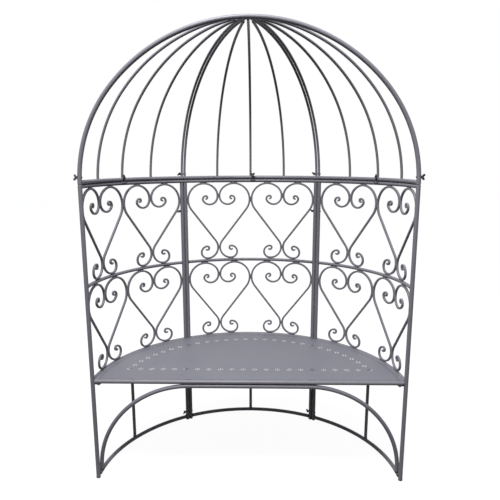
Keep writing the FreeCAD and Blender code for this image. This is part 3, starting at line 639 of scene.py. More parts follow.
def round_edges(thing: Thing, width: float, segments: int, sharp: float, smooth: float) -> None:
    """Round the active object's edges and shade it.

    Args:
        thing: The object.
        width: Width of the rounding.
        segments: Faces across the rounding.
        sharp: Smallest angle between faces that is rounded.
        smooth: Largest angle between faces that shades smooth.
    """
    bevel = thing.modifiers.new("rounding", "BEVEL")
    bevel.width = width
    bevel.segments = segments
    bevel.limit_method = "ANGLE"
    bevel.angle_limit = math.radians(sharp)
    bpy.ops.object.modifier_apply(modifier=bevel.name)
    bpy.ops.object.shade_smooth_by_angle(angle=math.radians(smooth))


@dataclass
class Dresser:
    """Hands each finished piece its slot's material and its body, and hides the nodes that it stands for."""

    frame: dict
    materials: dict[Slot, bpy.types.Material] = field(default_factory=dict)
    # Painted shade for the weld beads, darker than the tube's coat.
    weld: bpy.types.Material | None = None
    merge: float = 0.01 * MM
    flat_angle: float = 2.0
    sharp_angle: float = 35.0
    pressed_edge: float = 0.4 * MM

    def __post_init__(self) -> None:
        """Build every finish once."""
        self.materials = {slot: finish.build() for slot, finish in FINISHES.items()}
        self.weld = WELD_PAINTED_SHADE.build()

    def dress(self, thing: Thing, slot: Slot, *nodes: str) -> Thing:
        """Finish one new piece.

        Args:
            thing: The piece, with its place in its mesh.
            slot: The record's slot it takes its finish from.
            nodes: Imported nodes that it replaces.

        Returns:
            The piece.
        """
        thing.data.materials.clear()
        thing.data.materials.append(self.materials[slot])
        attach(thing, BODY)
        if nodes:
            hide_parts(*nodes)
        log.info("%s: %d faces", thing.name, len(thing.data.polygons))
        return thing

    def dress_welds(self, beads: list[Thing], name: str) -> None:
        """Join weld beads into one piece and finish it with the welds' painted shade."""
        self.dress(join(beads, name), Slot.TUBE).data.materials[0] = self.weld

    def dress_nodes(self) -> None:
        """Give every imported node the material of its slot."""
        slots = {part["node"]: part["material_slot"] for part in self.frame["record"]["subparts"]}
        for name, node in self.frame["nodes"].items():
            slot = Slot(slots[name])
            for place in node.material_slots:
                place.material = self.materials[slot]
            if not node.material_slots:
                node.data.materials.append(self.materials[slot])

    def soften(self, node: str, name: str) -> None:
        """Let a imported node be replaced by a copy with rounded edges, as pressing and paint leave them.

        Args:
            node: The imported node.
            name: Name of the copy.
        """
        twin = named(copy_to(self.frame["nodes"][node], Matrix.Identity(4)), name)
        activate(twin)
        edit_all()
        bpy.ops.mesh.remove_doubles(threshold=self.merge)
        bpy.ops.mesh.dissolve_limited(angle_limit=math.radians(self.flat_angle))
        face_outward()
        round_edges(twin, self.pressed_edge, segments=2, sharp=self.sharp_angle, smooth=self.sharp_angle)
        self.dress(twin, Slot.TUBE, node)


@dataclass
class Assembly:
    """A sub-assembly, with the sizes that it shares with others and the dresser of its pieces."""

    shape: HalfRound
    dresser: Dresser


# Rolled rails


@dataclass
class Rails(Assembly):
    """Rails of the three panels and of the roof, rolled to the half circle."""

    ring_sides: int = 24
    step_angle: float = 1.5
    fewest_steps: int = 8
    end_gap: float = 0.5 * MM
    post_share: float = 0.9
    paint_fill: float = 0.32 * MM

    def rolled(self, node: str, bend: float, tube: float, first: float, last: float, z: float) -> None:
        """Model one rail from plan angle to plan angle and let it replace its node.

        Args:
            node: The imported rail.
            bend: Radius of the rail's centre line.
            tube: Radius of the tube.
            first, last: Plan angles of its ends.
            z: Height of its centre line.
        """
        start = self.shape.on_arc(first, bend, z) @ turn(90, "X")
        steps = max(self.fewest_steps, round((last - first) / self.step_angle))
        run = Run(node + "_tube", start, tube - self.shape.skin, self.ring_sides)
        run.bend(self.shape.at(0, 0, z), UP, last - first, steps)
        self.dresser.dress(run.close(), Slot.TUBE, node)

    def build(self) -> None:
        """Model all fifteen rails."""
        shape = self.shape
        radius, thin, thick = shape.radius, shape.top_rail_tube, shape.frame_tube
        end = angle_across(self.end_gap, radius)
        tuck = angle_across(self.post_share * thick, radius)
        for index, side in enumerate(PANELS):
            first_post, last_post = shape.post_angles(index)
            over_first = first_post if side == "right" else index * shape.panel_angle + end
            over_last = last_post if side == "left" else (index + 1) * shape.panel_angle - end
            over_posts = (over_first, over_last)
            between = (first_post + tuck, last_post - tuck)
            panel = side + "_panel"
            self.rolled(panel + "_top_rail", radius, thin + self.paint_fill, *over_posts, shape.top_rail_z)
            self.rolled(side + "_roof_base_rail", radius, thick, *over_posts, shape.roof_rail_z)
            self.rolled(panel + "_middle_rail", radius, thin, *between, shape.middle_rail_z)
            self.rolled(panel + "_seat_rail", radius, thick, *between, shape.seat_rail_z)
            low = radius - shape.bottom_rail_inset
            self.rolled(panel + "_bottom_rail", low, thick, *between, shape.bottom_rail_z)


# Roof ribs


@dataclass
class Ribs(Assembly):
    """Fifteen ribs, each bent to a steep shoulder and a flatter crown that meet in one tangent."""

    rise: float = 647 * MM
    shoulder_share: float = 1.0033
    pitch: float = 14.67
    step_angle: float = 2.0
    fewest_steps: int = 2
    foot_sink: float = 3 * MM
    bead_share: float = 1.03
    bead_reach: float = 4 * MM
    beads: list[Thing] = field(default_factory=list)

    @property
    def shoulder(self) -> float:
        """Radius of the steep lower bend."""
        return self.shoulder_share * self.rise**2 / self.shape.radius

    @property
    def set_in(self) -> float:
        """Distance of the shoulder bend's centre from the half circle's axis."""
        return self.shape.radius - self.shoulder

    @property
    def crown(self) -> float:
        """Radius of the crown bend, which is level over the half circle's axis."""
        return (self.set_in**2 + self.rise**2 - self.shoulder**2) / (2 * (self.rise - self.shoulder))

    @property
    def crown_z(self) -> float:
        """Height of the crown bend's centre."""
        return self.shape.seam_z + self.rise - self.crown

    def rib(
        self,
        node: str,
        tube: float,
        boundary: float,
        offset: float,
        foot_z: float,
        stop: float,
        ease: float = 0.0,
    ) -> None:
        """Model one rib and let it replace its node. A rib without an eased foot gets a weld bead at its tip.

        Args:
            node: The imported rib.
            tube: Radius of the tube.
            boundary: Plan angle of the rib's upright plane.
            offset: How far the rib is set aside from that plane.
            foot_z: Height of its foot.
            stop: Distance of its upper end from the half circle's axis.
            ease: Rounding of its foot, which shows the joint with the post.
        """
        shape = self.shape
        plane = turn(boundary)
        aside = plane @ Vector((0, offset, 0))
        axis = plane @ Vector((0, -1, 0))
        foot = angle_across(foot_z - shape.seam_z, self.shoulder)
        joint = math.degrees(math.atan2(shape.seam_z - self.crown_z, self.set_in))
        end = math.degrees(math.acos(stop / self.crown))
        low = shape.at(*(aside + plane @ Vector((self.set_in, 0, shape.seam_z))))
        high = shape.at(*aside) + self.crown_z * UP
        lean = turn(foot, axis)
        start = low + lean @ (plane @ Vector((self.shoulder, 0, 0)))
        run = Run(node + "_tube", Matrix.Translation(start) @ lean @ plane, tube - ease)
        if ease:
            step = math.degrees(ease / self.shoulder)
            foot += step
            run.bend(low, axis, step, 1)
            run.scale_end(tube / (tube - ease), low + turn(step, axis) @ (start - low))
        run.bend(low, axis, joint - foot, round((joint - foot) / self.step_angle))
        run.bend(high, axis, end - joint, max(self.fewest_steps, round((end - joint) / self.step_angle)))
        self.dresser.dress(run.close(), Slot.TUBE, node)
        if not ease:
            tilt = turn(end, axis) @ plane
            tip = Matrix.Translation(high + tilt @ Vector((self.crown, 0, 0))) @ tilt
            width = self.bead_share * tube
            self.beads.append(weld_bead(tip, (width, width, self.bead_reach)))

    @staticmethod
    def meeting(gap: float, reach: float, own: float = 0.0) -> float:
        """Find where a rib comes up against a neighbour.

        Args:
            gap: Distance to keep from the plane of the neighbour.
            reach: Plan angle between the two planes.
            own: How far the rib itself is set aside from its plane.

        Returns:
            Distance of the rib's upper end from the half circle's axis.
        """
        return (gap + own * math.cos(math.radians(reach))) / math.sin(math.radians(reach))

    def build(self) -> None:
        """Model the front arch, the paired edge ribs and the inner ribs."""
        shape = self.shape
        span, half, near = shape.panel_angle, shape.panel_angle / 2, shape.panel_angle / 2 - self.pitch
        thin, thick, front = shape.thin_tube, shape.frame_tube, shape.post_offset
        edge = thin + shape.rib_pair_gap / 2
        foot = shape.roof_rail_z + thick - self.foot_sink
        front_foot, front_stop = shape.seam_z + shape.weld_gap, shape.weld_gap / 2
        for side, boundary, sign in (("right", 0.0, 1), ("left", 3 * span, -1)):
            stand = (thick - shape.skin, boundary, sign * front, front_foot, front_stop)
            self.rib(side + "_roof_front_rib", *stand, ease=shape.joint_ease)
        to_front = front + thin + thick + shape.weld_gap
        to_pair = edge + 2 * thin + shape.weld_gap
        side_stop, middle_stop = self.meeting(to_front, span, edge), self.meeting(thin, half, edge)
        pairs = (
            ("right_roof_rear_rib", span, -edge, side_stop),
            ("middle_roof_right_rib", span, edge, middle_stop),
            ("middle_roof_left_rib", 2 * span, -edge, middle_stop),
            ("left_roof_rear_rib", 2 * span, edge, side_stop),
        )
        for node, boundary, offset, stop in pairs:
            self.rib(node, thin, boundary, offset, foot, stop)
        names = (("front", "middle", "rear"), ("right", "middle", "left"), ("rear", "middle", "front"))
        for index, side in enumerate(PANELS):
            beside = to_pair if side == "middle" else to_front
            stops = {"front": self.meeting(to_front, near), "middle": self.meeting(beside, half)}
            for step, place in zip((-1, 0, 1), names[index]):
                stop = stops.get(place, self.meeting(to_pair, near))
                boundary = index * span + half + step * self.pitch
                self.rib("%s_roof_inner_rib_%s" % (side, place), thin, boundary, 0.0, foot, stop)
        self.dresser.dress_welds(self.beads, "crown_welds")


# Scrolled hearts


@dataclass
class Scrolls(Assembly):
    """Twenty-four square bars scrolled at both ends, two to a heart and two hearts to a panel row."""

    bar: float = 9.5 * MM
    corner: float = 1.2 * MM
    lobe_share: float = 0.525
    lobe_lap: float = 45.0
    coil_share: float = 0.265
    coil_lead: float = 10.0
    curl_share: float = 0.1052
    curl_lead: float = 56.3
    eye_share: float = 0.0495
    eye_sweep: float = 200.0
    foot_share: float = 0.3558
    foot_curl_share: float = 0.2
    foot_curl_lead: float = 7.2
    foot_eye_share: float = 0.062
    foot_eye_sweep: float = 235.0
    arc_step: float = 7.5 * MM
    arc_turn: float = 14.0
    tip_share: float = 0.8
    tip_turn: float = 70.0
    tip_steps: int = 5
    bead_deep: float = 0.34
    bead_sink: float = 0.9 * MM
    bead_thick: float = 1.9 * MM
    lobe_bead: Pair = (20 * MM, 2.8 * MM)
    foot_bead: Pair = (12 * MM, 1.7 * MM)
    throat_bead_reach: float = 13 * MM
    foot_bead_reach: float = 10 * MM
    lobe_bead_reach: float = 14 * MM

    @property
    def edge_angle(self) -> float:
        """Plan angle of a rear post's inner side from the panel boundary."""
        return self.shape.post_angle + angle_across(self.shape.frame_tube, self.shape.radius)

    @property
    def half_angle(self) -> float:
        """Half the plan angle that one bar takes."""
        return (self.shape.panel_angle / 2 - self.edge_angle) / 4

    @property
    def plane(self) -> float:
        """Distance of a bar's own plane from the half circle's axis."""
        return self.shape.radius * (1 + math.cos(math.radians(self.half_angle))) / 2

    @property
    def width(self) -> float:
        """Room for one bar between its heart's axis and its neighbour."""
        return 2 * self.plane * math.tan(math.radians(self.half_angle))

    def arcs(self) -> tuple[list, list]:
        """Centre line of the bar from the upper tip to the lower tip.

        Returns:
            The upper and the lower arcs, each as centre, radius and the angles of its two ends.
        """
        half = self.bar / 2
        gap = self.shape.weld_gap
        side = half * (1 + math.tan(math.radians(self.half_angle))) + gap / 2
        width = self.width - 2 * side
        shares = (self.lobe_share, self.coil_share, self.curl_share, self.eye_share)
        lobe, coil, curl, eye = [share * width for share in shares]
        foot_shares = (self.foot_share, self.foot_curl_share, self.foot_eye_share)
        foot, foot_curl, foot_eye = [share * width for share in foot_shares]
        spread = math.sin(math.radians(self.lobe_lap))
        throat = (width - lobe * (1 + spread)) / (1 - spread)
        lap, lead, curl_lead = 90 + self.lobe_lap, 180 + self.coil_lead, 270 + self.curl_lead
        lobe_c = Vector((side + width - lobe, self.shape.heart_row - gap - half - lobe, 0))
        throat_c = lobe_c + ray(lap) * (lobe - throat)
        coil_c = throat_c + ray(lead) * (throat - coil)
        curl_c = coil_c + ray(curl_lead) * (coil - curl)
        eye_c = curl_c + ray(90) * (curl - eye)
        foot_lead = 270 + self.foot_curl_lead
        foot_c = Vector((side + foot, gap + half + foot, 0))
        foot_curl_c = foot_c + ray(foot_lead) * (foot - foot_curl)
        foot_eye_c = foot_curl_c + ray(90) * (foot_curl - foot_eye)
        between = foot_c - lobe_c
        lean = angle_across(lobe + foot, between.length)
        heading = math.degrees(math.atan2(between.y, between.x)) - lean
        upper = [
            (eye_c, eye, 450 + self.eye_sweep, 450),
            (curl_c, curl, 450, curl_lead),
            (coil_c, coil, curl_lead, lead),
            (throat_c, throat, lead, lap),
            (lobe_c, lobe, lap, 90 + heading),
        ]
        lower = [
            (foot_c, foot, 270 + heading, foot_lead),
            (foot_curl_c, foot_curl, foot_lead, 450),
            (foot_eye_c, foot_eye, 450, 450 + self.foot_eye_sweep),
        ]
        return upper, lower

    def tip(self, run: Run, arc: tuple, angle: float, growth: float) -> float:
        """Bend one tip of the bar while its section grows or thins.

        Args:
            run: The bar.
            arc: Centre, radius and end angles of the tip's arc.
            angle: Angle on that arc at which the tip begins.
            growth: Factor of the section's width at each step.

        Returns:
            Angle at which the tip ends.
        """
        centre, radius, begin, finish = arc
        small = math.copysign(self.tip_turn / self.tip_steps, finish - begin)
        for _ in range(self.tip_steps):
            angle += small
            run.bend(centre, UP, small, 1).scale_end(growth, centre + radius * ray(angle))
        return angle

    def master(self) -> Thing:
        """Bend one bar in its own plane, from the upper tip to the lower tip.

        Returns:
            The bar, with X away from the heart's axis, Y up and its thickness along Z.
        """
        upper, lower = self.arcs()
        centre, radius, begin, _ = upper[0]
        outward = ray(begin)
        last = centre + radius * outward
        basis = Matrix((outward, UP, outward.cross(UP))).transposed().to_4x4()
        start = Matrix.Translation(last) @ basis @ turn(45)
        run = Run("scroll_bar", start, self.tip_share * self.bar / math.sqrt(2), 4)
        bpy.ops.mesh.bevel(offset=self.corner, offset_type="OFFSET", segments=2, affect="VERTICES")
        bpy.ops.mesh.select_all(action="SELECT")
        growth = self.tip_share ** (-1 / self.tip_steps)
        for arc in upper + lower:
            centre, radius, begin, finish = arc
            straight = centre + radius * ray(begin) - last
            if straight.length > self.corner:
                run.draw(straight)
            last = centre + radius * ray(finish)
            if arc is upper[0]:
                begin = self.tip(run, arc, begin, growth)
            if arc is lower[-1]:
                finish -= math.copysign(self.tip_turn, finish - begin)
            sweep = finish - begin
            steps = max(abs(sweep) / self.arc_turn, math.radians(abs(sweep)) * radius / self.arc_step)
            run.bend(centre, UP, sweep, math.ceil(steps))
        self.tip(run, lower[-1], finish, 1 / growth)
        return run.close(smooth_angle=30)

    def places(self, start: float, z: float) -> list[Matrix]:
        """Placements of a panel row's four bars.

        Args:
            start: Plan angle at which the panel begins.
            z: Height of the row's lower edge.

        Returns:
            One placement for each bar.
        """
        found = []
        for half in range(4):
            middle = start + self.edge_angle + self.half_angle * (2 * half + 1)
            ahead = 1 if half % 2 else -1
            stand = Matrix(((0, 0, ahead, 0), (ahead, 0, 0, 0), (0, 1, 0, 0), (0, 0, 0, 1)))
            found.append(self.shape.on_arc(middle, self.plane, z) @ stand @ shift(x=-self.width / 2))
        return found

    def welds(self, places: list[Matrix]) -> list[Thing]:
        """Lay a panel row's weld beads where the bars touch the rails, the posts and one another.

        Args:
            places: Placements of the row's four bars.

        Returns:
            The beads.
        """
        upper, lower = self.arcs()
        throat, lobe, foot = upper[3][0], upper[4][0], lower[0][0]
        deep, thick = self.bead_deep * self.bar, self.bead_thick
        beads = []
        for half, place in enumerate(places):
            spots = [
                (lobe.x, self.shape.heart_row - self.bead_sink, *self.lobe_bead),
                (foot.x, self.bead_sink, *self.foot_bead),
            ]
            if half % 2 == 0:
                spots.append((0.0, throat.y, thick, self.throat_bead_reach))
                spots.append((0.0, foot.y, thick, self.foot_bead_reach))
            if half != 2:
                spots.append((self.width, lobe.y, thick, self.lobe_bead_reach))
            beads += [weld_bead(place @ shift(x, y), (along, up, deep)) for x, y, along, up in spots]
        return beads

    def build(self) -> None:
        """Copy the master bar to its twenty-four places, one object for each packed row."""
        master = self.master()
        for index, side in enumerate(PANELS):
            for row, z in (("lower", self.shape.seat_rail_top), ("upper", self.shape.upper_row_z)):
                places = self.places(index * self.shape.panel_angle, z)
                node = "%s_panel_%s_scrolls" % (side, row)
                bars = [copy_to(master, place) for place in places]
                self.dresser.dress(join(bars, node + "_bars"), Slot.TUBE, node)
                self.dresser.dress_welds(self.welds(places), node + "_welds")
        remove(master)


# Posts and balusters


@dataclass
class Posts(Assembly):
    """Six posts and three balusters of plain tube, with a weld bead at every rail's end."""

    foot: float = 10.1 * MM
    post_share: float = 0.93
    post_sink: float = 6.4 * MM
    saddle: float = 4 * MM
    bead_share: float = 0.6
    baluster: float = 8 * MM
    baluster_arc: float = 698.3 * MM
    baluster_sides: int = 24

    def post(self, node: str, angle: float, front: bool) -> None:
        """Model one post and let it replace its node.

        Args:
            node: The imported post.
            angle: Its plan angle.
            front: Whether it goes up to the front arch, or else ends inside the top rail.
        """
        shape = self.shape
        top = shape.seam_z if front else shape.top_rail_z - self.post_sink
        ease = shape.joint_ease if front else shape.skin
        place = shape.on_arc(angle, shape.radius, self.foot)
        tube = straight_tube(node + "_tube", place, shape.frame_tube, top - self.foot, top_ease=ease)
        self.dresser.dress(tube, Slot.TUBE, node)

    def rail_welds(self, first: float, last: float) -> list[Thing]:
        """Lay beads where a panel's rails meet its two posts.

        Args:
            first, last: Plan angles of the posts.

        Returns:
            The beads.
        """
        shape = self.shape
        thick = shape.frame_tube
        rails = (
            (shape.bottom_rail_z, thick),
            (shape.seat_rail_z, thick),
            (shape.middle_rail_z, shape.top_rail_tube),
        )
        aside = math.degrees(self.post_share * thick / shape.radius)
        return [
            weld_ring(shape.on_arc(angle, shape.radius, z) @ turn(90, "X"), tube)
            for angle in (first + aside, last - aside)
            for z, tube in rails
        ]

    def build(self) -> None:
        """Model the posts, their beads and the balusters."""
        shape = self.shape
        names = (("front", "rear"), ("right", "left"), ("rear", "front"))
        low = shape.bottom_rail_z + shape.frame_tube - self.saddle
        high = shape.seat_rail_z - shape.frame_tube + self.saddle
        bead = self.bead_share * self.saddle
        for index, side in enumerate(PANELS):
            first, last = shape.post_angles(index)
            for place, angle in zip(names[index], (first, last)):
                self.post("%s_panel_%s_post" % (side, place), angle, place == "front")
            self.dresser.dress_welds(self.rail_welds(first, last), side + "_panel_rail_welds")
            node = side + "_panel_baluster"
            foot, *ends = [
                shape.on_arc((first + last) / 2, self.baluster_arc, z) for z in (low, low + bead, high - bead)
            ]
            tube = straight_tube(node + "_tube", foot, self.baluster, high - low, self.baluster_sides)
            self.dresser.dress(tube, Slot.TUBE, node)
            self.dresser.dress_welds([weld_ring(end, self.baluster) for end in ends], node + "_welds")


# Bench and brace


@dataclass
class Bench(Assembly):
    """The bench's front and back tubes and the brackets under its edge."""

    reach: float = 690.1 * MM
    back_start: float = 1.59
    back_sides: int = 24
    step_angle: float = 1.2

    def build(self) -> None:
        """Model the tubes and soften the brackets."""
        shape = self.shape
        end = shape.at(-self.reach, shape.post_offset, shape.seat_front_z)
        start = Matrix.Translation(end) @ turn(90, "Y")
        front = straight_tube("seat_front_tube_tube", start, shape.frame_tube, 2 * self.reach)
        self.dresser.dress(front, Slot.TUBE, "seat_front_tube")
        ring = shape.on_arc(self.back_start, shape.seat_back_arc, shape.seat_back_z) @ turn(90, "X")
        sweep = 180 - 2 * self.back_start
        run = Run("seat_back_tube_tube", ring, shape.frame_tube, self.back_sides)
        run.bend(shape.at(0, 0, shape.seat_back_z), UP, sweep, round(sweep / self.step_angle))
        self.dresser.dress(run.close(), Slot.TUBE, "seat_back_tube")
        self.dresser.soften("seat_brackets", "seat_bracket_tabs")


@dataclass
class Brace(Assembly):
    """The arch of tube under the bench's front, on a pin and a rubber collar at each foot."""

    lean: float = 3.171
    drop: float = 433.86 * MM
    reach: float = 688 * MM
    corner: float = 422.96 * MM
    corner_steps: int = 44
    leg: float = 1.9 * MM
    sides: int = 24
    pin: float = 6 * MM
    pin_foot: float = 2 * MM
    pin_top: float = 30 * MM
    pin_sides: int = 20
    collar: float = 10.4 * MM
    collar_foot: float = 1.5 * MM
    collar_top: float = 8.7 * MM
    collar_edge: float = 1.2 * MM

    @property
    def plane(self) -> Matrix:
        """The leaning plane, with X across, Y up along it and its origin at the top of the arch."""
        top_z = self.shape.seat_front_z - 2 * self.shape.frame_tube - self.shape.weld_gap
        return Matrix.Translation(self.shape.at(0, self.shape.post_offset, top_z)) @ turn(90 + self.lean, "X")

    def foot(self, side: int, height: float) -> Matrix:
        """Placement on a leg's line at a height along it, with Z up the leg."""
        return self.plane @ shift(side * self.reach, height - self.drop) @ turn(-90, "X")

    def build(self) -> None:
        """Bend the arch and set its pins and collars."""
        flat = self.reach - self.corner
        plane = self.plane
        across, up, axis = plane.to_3x3().transposed()
        foot = self.foot(1, self.drop - self.corner - self.leg)
        run = Run("front_brace_tube", foot, self.shape.frame_tube, self.sides)
        run.draw(up * self.leg)
        run.bend(plane @ Vector((flat, -self.corner, 0)), axis, 90, self.corner_steps)
        run.draw(across * -2 * flat)
        run.bend(plane @ Vector((-flat, -self.corner, 0)), axis, 90, self.corner_steps)
        run.draw(-up * self.leg)
        self.dresser.dress(run.close(), Slot.TUBE, "front_brace")
        collar, low, top, edge = self.collar, self.collar_foot, self.collar_top, self.collar_edge
        ring = [
            (collar - edge, low), (collar, low + edge), (collar, top - edge),
            (collar - 0.3 * edge, top - 0.3 * edge), (collar - edge, top),
        ]
        pegs = []
        length = self.pin_top - self.pin_foot
        for side in (1, -1):
            pin_foot = self.foot(side, self.pin_foot)
            pegs.append(straight_tube("pin", pin_foot, self.pin, length, self.pin_sides))
            pegs.append(turned("collar", self.foot(side, 0), ring))
        # The collars' near-black is partly painted shade for the gap at the brace's feet.
        self.dresser.dress(join(pegs, "brace_peg_pins_and_collars"), Slot.PEG, "brace_pegs")


# Foot caps


@dataclass
class Caps(Assembly):
    """Six glides under the posts, each with a flat where two posts stand side by side."""

    radius: float = 10.2 * MM
    height: float = 10 * MM
    stem: float = 7 * MM
    stem_length: float = 20 * MM
    stem_edge: float = 1 * MM
    flat: float = 9.9 * MM
    sides: int = 32

    def cap(self, angle: float, side: int) -> Thing:
        """Turn one cap and cut its flat.

        Args:
            angle: Plan angle of its post.
            side: 1 for a neighbour further along the arc, -1 for one before it, 0 for none.

        Returns:
            The cap.
        """
        radius, height, stem = self.radius, self.height, self.stem
        top = height + self.stem_length
        profile = [
            (0.6 * radius, 0.0), (0.73 * radius, 0.15 * MM), (0.88 * radius, 1 * MM),
            (0.97 * radius, 2.2 * MM), (radius, 3.6 * MM), (radius, height - 0.8 * MM),
            (0.97 * radius, height - 0.2 * MM), (0.92 * radius, height),
            (stem, height), (stem, top - self.stem_edge), (0.8 * stem, top),
        ]
        place = self.shape.on_arc(angle, self.shape.radius, 0) @ turn(180 if side < 0 else 0)
        cap = turned("cap", place, profile, self.sides)
        if side:
            normal = place.to_3x3() @ Vector((0, 1, 0))
            point = place.translation + normal * self.flat
            edit_all()
            bpy.ops.mesh.bisect(plane_co=point, plane_no=normal, use_fill=True, clear_outer=True)
            bpy.ops.object.mode_set(mode="OBJECT")
        return cap

    def build(self) -> None:
        """Set a cap under every post."""
        posts = [self.shape.post_angles(panel) for panel in range(len(PANELS))]
        (first, second), (third, fourth), (fifth, sixth) = posts
        stands = ((first, 0), (sixth, 0), (second, 1), (third, -1), (fourth, 1), (fifth, -1))
        caps = [self.cap(angle, side) for angle, side in stands]
        self.dresser.dress(join(caps, "foot_cap_glides"), Slot.CAP, "foot_caps")


# Bolts, wing nuts and clamps


@dataclass
class BoltGroup:
    """Bolts of one kind: their node, the places of their heads' undersides, their grip and nuts' turns."""

    node: str
    places: list[Matrix]
    grip: float
    turns: tuple[float, ...]


@dataclass
class Fasteners(Assembly):
    """Bolts with a low dome head and a threaded end, their wing nuts, and the clamps at the seam."""

    shank: float = 3 * MM
    head: float = 4.5 * MM
    head_rise: float = 1.8 * MM
    seat_head: float = 6 * MM
    seat_head_rise: float = 6.5 * MM
    # Rings of a head from its top down, as shares of its radius and its rise.
    dome: tuple[Pair, ...] = ((0.35, 1.0), (0.7, 0.82), (0.93, 0.45), (1.0, 0.15), (1.0, 0.0))
    bolt_sides: int = 16
    threads: int = 5
    thread: float = 1 * MM
    thread_depth: float = 0.35 * MM
    face: float = 0.1 * MM
    nut_set: float = 11.1 * MM
    # Radius and height of each ring of a nut's hub.
    hub: tuple[Pair, ...] = (
        (5.5 * MM, 0.0), (6.2 * MM, 0.5 * MM), (6.2 * MM, 2.2 * MM),
        (5.8 * MM, 3.4 * MM), (5.2 * MM, 7.3 * MM), (4.4 * MM, 8.0 * MM),
    )
    hub_sides: int = 20
    wing_span: Pair = (2.2 * MM, 13 * MM)
    wing_rise: Pair = (2 * MM, 14.9 * MM)
    wing_thick: float = 6.2 * MM
    wing_edge: float = 1.8 * MM
    # Each cut has a point of its plane and the direction that it cuts away, as X and Z.
    under_cut: tuple[Pair, Pair] = ((4.5 * MM, 2 * MM), (6, -8.5))
    inner_cut: tuple[Pair, Pair] = ((3.2 * MM, 9 * MM), (-7, 2.2))
    usual_turn: float = 27.0
    low_turn: float = 60.0
    arch_turns: Pair = (20.0, 28.0)
    clamp_turns: tuple[float, float, float] = (46.0, 52.0, -46.0)
    post_bolt_heights: Pair = (1186 * MM, 46 * MM)
    rib_bolt_rise: float = 20.5 * MM
    arch_bolt_rise: float = 31 * MM
    arch_bolt_arc: float = 699.2 * MM
    clamp_angles: tuple[float, float, float] = (30, 89, 150)
    clamp_arc: float = 686.5 * MM
    clamp_drop: float = 5.9 * MM
    clamp_grip: float = 24.9 * MM
    seat_bolt_x: float = 673 * MM
    seat_bolt_length: float = 11.1 * MM
    bracket: float = 2 * MM

    def bolt(self, name: str, length: float, threads: int, head: float, rise: float) -> Thing:
        """Turn one bolt along Z, with its head's underside at height 0.

        Args:
            name: Its name.
            length: Length of its shank.
            threads: Turns of thread at its end.
            head: Radius of its head.
            rise: Height of its head.

        Returns:
            The bolt.
        """
        shank = self.shank
        profile = [(wide * head, -high * rise) for wide, high in self.dome] + [(shank, 0.0)]
        start = length - threads * self.thread
        for step in range(threads):
            z = start + step * self.thread
            profile += [(shank - self.thread_depth, z), (shank, z + self.thread / 2)]
        profile.append((shank - self.thread_depth if threads else shank, length))
        return turned(name, Matrix.Identity(4), profile, self.bolt_sides)

    def wing(self, side: int) -> Thing:
        """Cut one wing of a nut from a flat block and round it.

        Args:
            side: 1 for the wing toward X, -1 for the other.

        Returns:
            The wing.
        """
        (inner, outer), (low, high) = self.wing_span, self.wing_rise
        size = Matrix.Diagonal((outer - inner, self.wing_thick, high - low, 1.0))
        deselect()
        bpy.ops.mesh.primitive_cube_add(size=1.0)
        wing = placed("wing", shift(side * (inner + outer) / 2, 0, (low + high) / 2) @ size)
        edit_all()
        for (x, z), (toward_x, toward_z) in (self.under_cut, self.inner_cut):
            normal = Vector((side * toward_x, 0, toward_z)).normalized()
            bpy.ops.mesh.select_all(action="SELECT")
            bpy.ops.mesh.bisect(plane_co=(side * x, 0, z), plane_no=normal, use_fill=True, clear_outer=True)
        bpy.ops.object.mode_set(mode="OBJECT")
        round_edges(wing, self.wing_edge, segments=4, sharp=30, smooth=40)
        return wing

    def wing_nut(self) -> Thing:
        """Model a wing nut along Z, with its bearing face at height 0.

        Returns:
            The nut.
        """
        hub = turned("hub", Matrix.Identity(4), self.hub, self.hub_sides)
        return join([hub, self.wing(1), self.wing(-1)], "wing_nut")

    def groups(self) -> list[BoltGroup]:
        """Every group of bolts with wing nuts.

        Returns:
            The groups, from the posts to the clamps.
        """
        shape = self.shape
        radius, span = shape.radius, shape.panel_angle
        seams, ends = (span, 2 * span), (shape.post_angle, 3 * span - shape.post_angle)
        along, outward = turn(-90, "X"), turn(90, "Y")
        posts = [shape.on_arc(seam, radius, z) @ along for seam in seams for z in self.post_bolt_heights]
        ribs = [shape.on_arc(seam, radius, shape.roof_rail_z + self.rib_bolt_rise) @ along for seam in seams]
        arch_z = shape.seam_z + self.arch_bolt_rise
        arches = [shape.on_arc(end, self.arch_bolt_arc, arch_z) @ outward for end in ends]
        post_half = shape.post_offset + shape.frame_tube + self.face
        rib_half = 2 * shape.thin_tube + shape.rib_pair_gap / 2 + self.face
        arch_half = shape.frame_tube + 4 * self.face
        through = (
            ("post_bolts", posts, post_half, (self.usual_turn, self.low_turn) * 2),
            ("rib_bolts", ribs, rib_half, (self.usual_turn, self.usual_turn)),
            ("arch_bolts", arches, arch_half, self.arch_turns),
        )
        found = [
            BoltGroup(node, [place @ shift(z=-half) for place in places], 2 * half - self.face, turns)
            for node, places, half, turns in through
        ]
        clamp_z = shape.seam_z - self.clamp_drop
        clamps = [shape.on_arc(angle, self.clamp_arc, clamp_z) for angle in self.clamp_angles]
        return [*found, BoltGroup("rail_clamp_bolts", clamps, self.clamp_grip, self.clamp_turns)]

    def seat_bolt_places(self) -> list[Matrix]:
        """Placements of the four bolts that go up through the brackets.

        Returns:
            The two at the front corners, then the two at the rear posts.
        """
        shape = self.shape
        drop = shape.frame_tube + shape.weld_gap + self.bracket + self.face
        front_z, back_z = shape.seat_front_z - drop, shape.seat_back_z - drop
        corners = [shape.at(side * self.seat_bolt_x, shape.post_offset, front_z) for side in (1, -1)]
        rear = [shape.on_arc(angle, shape.seat_back_arc, back_z) for angle in shape.post_angles(1)]
        return [Matrix.Translation(corner) for corner in corners] + rear

    def set_bolts(self, master: Thing, places: list[Matrix], node: str) -> None:
        """Copy a bolt to its places and finish the copies as one piece.

        Args:
            master: The bolt.
            places: Placements of the heads' undersides.
            node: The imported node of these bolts.
        """
        bolts = [copy_to(master, place) for place in places]
        self.dresser.dress(join(bolts, node + "_dome_headed"), Slot.FASTENER, node)
        remove(master)

